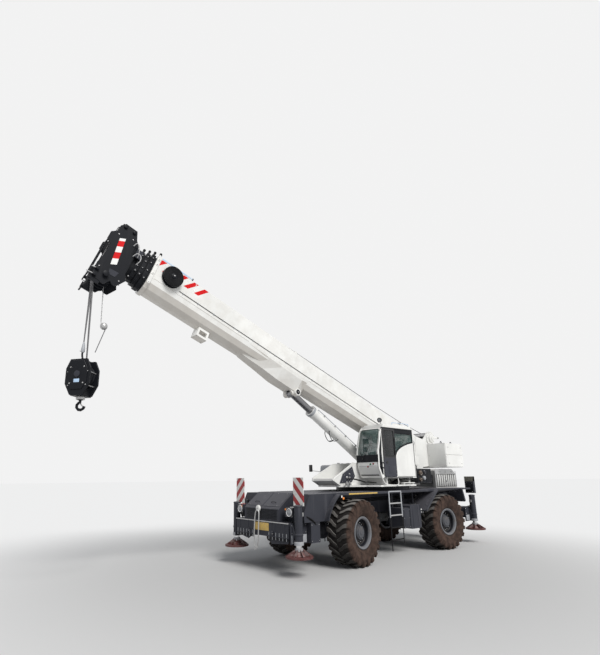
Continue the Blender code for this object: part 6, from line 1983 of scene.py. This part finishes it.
def fit_reel():
    """Hose coil, hub and rings of the cable reel."""
    shape = Shape("reel_fittings", BOOM @ Matrix.Translation((11.19, 0.3603, 0.16)))
    turn = Matrix.Rotation(-math.pi / 2, 4, "X")
    shape.lathe("cable", [
        (0.158, 0.048), (0.2, 0.052), (0.23, 0.058), (0.25, 0.066), (0.25, 0.084), (0.23, 0.092),
        (0.158, 0.098),
    ], turn, 32, closed=True)
    shape.lathe("black", [
        (0.0, 0.16), (0.075, 0.16), (0.075, 0.172), (0.045, 0.19), (0.0, 0.192),
    ], turn, 24)
    for radius in (0.105, 0.135, 0.165, 0.195, 0.225, 0.252, 0.277):
        ring = [(radius + a, 0.161 + b) for a, b in around(6, 0.009)]
        shape.lathe("rubber", ring, turn, 40, closed=True)
    shape.lathe("silver", [(0.0, 0.19), (0.018, 0.19), (0.018, 0.204), (0.0, 0.206)], turn, 12)
    shape.settle("boom")


def fit_head():
    """The striped board, hoops, knobs and small rods of the boom head."""
    shape = Shape("head_fittings", BOOM)
    # The striped board's top, foot and lean, then its bands from the top: finish, share of its height
    top, low = 0.39, -0.41
    lean = 0.085
    bands = (("white", 0.1), ("red", 0.22), ("white", 0.22), ("red", 0.24), ("white", 0.22))
    share = 0.0
    for kind, part in bands:
        w0 = top + (low - top) * share
        share += part
        w1 = top + (low - top) * share
        u0 = 12.66 - 0.1 * (top - w0) / (top - low)
        u1 = 12.66 - 0.1 * (top - w1) / (top - low)
        band = [(u0, w0), (u1, w1), (u1 + 0.135, w1 - lean), (u0 + 0.135, w0 - lean)]
        shape.plate(kind, band, "xz", 0.332, 0.344, 0)
        shape.plate(kind, band, "xz", -0.344, -0.332, 0)
    for side in (1, -1):
        hoop = [
            (12.2, side * 0.345, 0.1), (12.24, side * 0.42, 0.22), (12.3, side * 0.44, 0.36),
            (12.38, side * 0.42, 0.42), (12.42, side * 0.345, 0.34),
        ]
        shape.hose("silver", hoop, 0.012, 8, 5)
        hoop = [
            (12.16, side * 0.345, -0.1), (12.12, side * 0.42, 0.02), (12.16, side * 0.43, 0.14),
            (12.26, side * 0.42, 0.16), (12.32, side * 0.345, 0.06),
        ]
        shape.hose("silver", hoop, 0.012, 8, 5)
        shape.bolts([(u, side * 0.332, w) for u, w in (
            (12.2, -0.5), (12.34, -0.78), (12.9, -0.7), (12.86, 0.4), (12.5, 0.5),
        )], (0, side, 0), 0.018, 0.014)
        for u, w, radius in ((12.68, -0.81, 0.075), (12.8, 0.7, 0.045), (12.55, 0.7, 0.045)):
            turn = turned_to((u, side * (0.4 if radius > 0.05 else 0.36), w), (0, side, 0))
            shape.lathe("black", [
                (0.0, 0.0), (radius, 0.0), (radius, 0.012), (radius * 0.6, 0.02), (0.0, 0.02),
            ], turn, 20)
        shape.plate(
            "charcoal", [(12.42, -0.58), (12.66, -0.6), (12.64, -0.76), (12.46, -0.74)], "xz",
            *beside(side, 0.33, 0.338), 0.003,
        )
    # Rods that stick out before the lower nose
    for y, w, reach in ((0.36, -0.98, 0.16), (0.36, -0.8, 0.1), (-0.36, -0.9, 0.1)):
        shape.rod("silver", (12.94, y, w), (12.94 + reach, y, w - 0.02), 0.012, 8)
        shape.block("black", (12.86, 12.95), (y - 0.03, y + 0.03), (w - 0.03, w + 0.03), 0.006)
    # Plate on the head's left side, and the rod over its top
    shape.block("charcoal", (12.12, 12.38), (0.315, 0.33), (0.1, 0.36), 0.006)
    shape.rod("black", (12.86, -0.3, 0.772), (12.86, 0.3, 0.772), 0.015, 10)
    # The hoist rope over the idlers and down to the lower sheaves
    rope = [
        (12.45, 0.1, 0.78), (12.55, 0.1, 0.815), (12.68, 0.1, 0.822), (12.8, 0.1, 0.806), (12.9, 0.1, 0.76),
        (12.935, 0.1, 0.68), (12.93, 0.09, 0.3), (12.91, 0.08, -0.7),
    ]
    shape.hose("cable", rope, 0.011, 8, 4)
    shape.settle("section_5")


class CRANE_OT_boom(bpy.types.Operator):
    """Paints the boom and fits its stripes, cable, ropes, collars, reel and head"""

    bl_idname = "crane.boom"
    bl_label = "Dress the boom"

    def execute(self, context):
        coat_node("boom_base", "boom_white")
        for number in (2, 3, 4, 5):
            coat_node("boom_section_%d" % number, "black")
        coat_node("cable_reel", "black")
        coat_node("boom_head", "black")
        fit_bars()
        fit_cable()
        fit_collars()
        fit_reel()
        fit_head()
        return {"FINISHED"}


class CRANE_OT_rigging(bpy.types.Operator):
    """Builds the ropes, dresses the hook block and hangs the ring weight"""

    bl_idname = "crane.rigging"
    bl_label = "Dress the rigging"

    def execute(self, context):
        coat_node("hook_block", "black")
        coat_node("hook", "black")
        # The falls hang where the rope rests on the flanks of the head sheaves' grooves
        sheave, groove, half_groove, rope, seat = 0.22, 0.028, 0.035, 0.011, 0.0003
        front = sheave - groove + rope / math.sin(math.atan2(half_groove, groove)) + seat
        ropes = Shape("ropes_dressed", HANG)
        # Four falls in two crossing pairs, and the dead end with its wedge socket
        # fall: Y at the head, X and Y at the block
        for y, end_x, end_y in (
            (-0.11, 0.04, -0.06), (0.11, -0.04, 0.07), (0.01, -0.05, -0.02), (-0.02, 0.06, 0.03),
        ):
            ropes.rod("cable", (front, y, 0.0), (front + end_x, end_y, -2.1), rope, 8, chamfer=0.05)
        ropes.rod("cable", (front, 0.08, 0.0), (front + 0.05, 0.02, -1.72), rope, 8, chamfer=0.05)
        socket = turned_to((front + 0.05, 0.02, -1.72), (0.02, 0.0, -1.0))
        ropes.lathe("grey", [
            (0.0, 0.0), (0.02, 0.0), (0.028, 0.04), (0.045, 0.16), (0.045, 0.22), (0.03, 0.25), (0.0, 0.25),
        ], socket, 16)
        ropes.rod("steel", (front + 0.01, 0.02, -1.94), (front + 0.12, 0.02, -1.94), 0.016, 10)
        ropes.hose("black", [
            (front + 0.06, 0.02, -1.94), (front + 0.06, 0.02, -2.05), (front + 0.02, 0.02, -2.2),
        ], 0.022, 10, 3)
        ropes.settle("hook_block", ("rope_falls",))

        place = HANG @ Matrix.Translation((front, 0.0, -2.16)) @ Matrix.Rotation(BLOCK_TURN, 4, "Z")
        block = Shape("hook_block_fittings", place)
        cheek = [
            (0.15, -0.04), (0.245, -0.22), (0.245, -0.56), (0.13, -0.72), (-0.13, -0.72), (-0.245, -0.56),
            (-0.245, -0.22), (-0.15, -0.04),
        ]
        for side in (1, -1):
            block.plate("black", cheek, "xz", *beside(side, 0.189, 0.212), 0.008)
            block.bolts([(x, side * 0.212, z) for x, z in (
                (0.17, -0.2), (-0.17, -0.2), (0.17, -0.58), (-0.17, -0.58),
            )], (0, side, 0), 0.018, 0.014)
            turn = turned_to((0.0, side * 0.21, -0.36), (0, side, 0))
            block.lathe("charcoal", [
                (0.0, 0.0), (0.075, 0.0), (0.075, 0.014), (0.05, 0.022), (0.0, 0.022),
            ], turn, 24)
            block.block("pale_blue", (-0.07, 0.07), beside(side, 0.211, 0.216), (-0.56, -0.48), 0.003)
        for x in (-0.25, 0.25):
            block.rod("steel", (x, -0.2, -0.3), (x, 0.2, -0.3), 0.014, 10)
            block.rod("steel", (x * 0.9, -0.2, -0.62), (x * 0.9, 0.2, -0.62), 0.014, 10)
        block.lathe("steel", [
            (0.062, -0.93), (0.095, -0.93), (0.1, -0.91), (0.1, -0.87), (0.062, -0.865),
        ], Matrix.Identity(4), 28, closed=True)
        block.rod("steel", (0.02, -0.012, -0.99), (-0.115, -0.012, -1.13), 0.01, 8)
        block.rod("steel", (0.02, 0.012, -0.99), (-0.115, 0.012, -1.13), 0.01, 8)
        block.settle("hook_block")

        # The ring weight of the hoist limit switch, on its chain from the head
        ring = Shape("ring_weight", HANG)
        centre = Vector((7.27, 0.0, 6.16)) + SHIFT - HANG.translation
        turn = Matrix.Translation(centre)
        ring.lathe("silver", [
            (0.045, -0.075), (0.066, -0.066), (0.084, -0.038), (0.09, 0.0), (0.084, 0.038), (0.066, 0.066),
            (0.045, 0.075),
        ], turn, 24, closed=True)
        ring.rod(
            "cable", (centre.x - 0.045, 0.0, centre.z - 0.06), (centre.x + 0.11, -0.14, centre.z - 0.66),
            0.011, 8,
        )
        top = Vector((centre.x + 0.075, 0.0, centre.z + 0.07))
        head = Vector((centre.x + 0.1, 0.0, -0.05))
        links = 22
        for i in range(links):
            low = top.lerp(head, i / links)
            high = top.lerp(head, (i + 1.25) / links)
            spread = Vector((0.008, 0.0, 0.0)) if i % 2 else Vector((0.0, 0.008, 0.0))
            ring.hose("steel", [
                low - spread * 0.4, low + spread, high + spread, high - spread * 0.4,
            ], 0.0045, 6, 2)
            ring.hose("steel", [
                low + spread * 0.4, low - spread, high - spread, high + spread * 0.4,
            ], 0.0045, 6, 2)
        ring.settle("hook_block")
        return {"FINISHED"}


class CRANE_PT_build(bpy.types.Panel):
    """Lists the crane's build steps in the sidebar"""

    bl_label = "Crane"
    bl_idname = "CRANE_PT_build"
    bl_space_type = "VIEW_3D"
    bl_region_type = "UI"
    bl_category = "Crane"

    def draw(self, context):
        for step in STEPS:
            self.layout.operator(step.bl_idname)


GROUPS = (CraneFinishes, CraneTyres, CraneStage)
STEPS = (
    CRANE_OT_palette,
    CRANE_OT_stage,
    CRANE_OT_tyres,
    CRANE_OT_rims,
    CRANE_OT_carrier,
    CRANE_OT_outriggers,
    CRANE_OT_access,
    CRANE_OT_superstructure,
    CRANE_OT_cab,
    CRANE_OT_boom,
    CRANE_OT_rigging,
)


def register():
    for group in GROUPS + STEPS + (CRANE_PT_build,):
        bpy.utils.register_class(group)
    bpy.types.Scene.crane_finishes = PointerProperty(type=CraneFinishes)
    bpy.types.Scene.crane_tyres = PointerProperty(type=CraneTyres)
    bpy.types.Scene.crane_stage = PointerProperty(type=CraneStage)


def unregister():
    del bpy.types.Scene.crane_stage
    del bpy.types.Scene.crane_tyres
    del bpy.types.Scene.crane_finishes
    for group in reversed(GROUPS + STEPS + (CRANE_PT_build,)):
        bpy.utils.unregister_class(group)


def main():
    register()
    for step in STEPS:
        group, name = step.bl_idname.split(".")
        getattr(getattr(bpy.ops, group), name)()


if __name__ == "__main__":
    main()
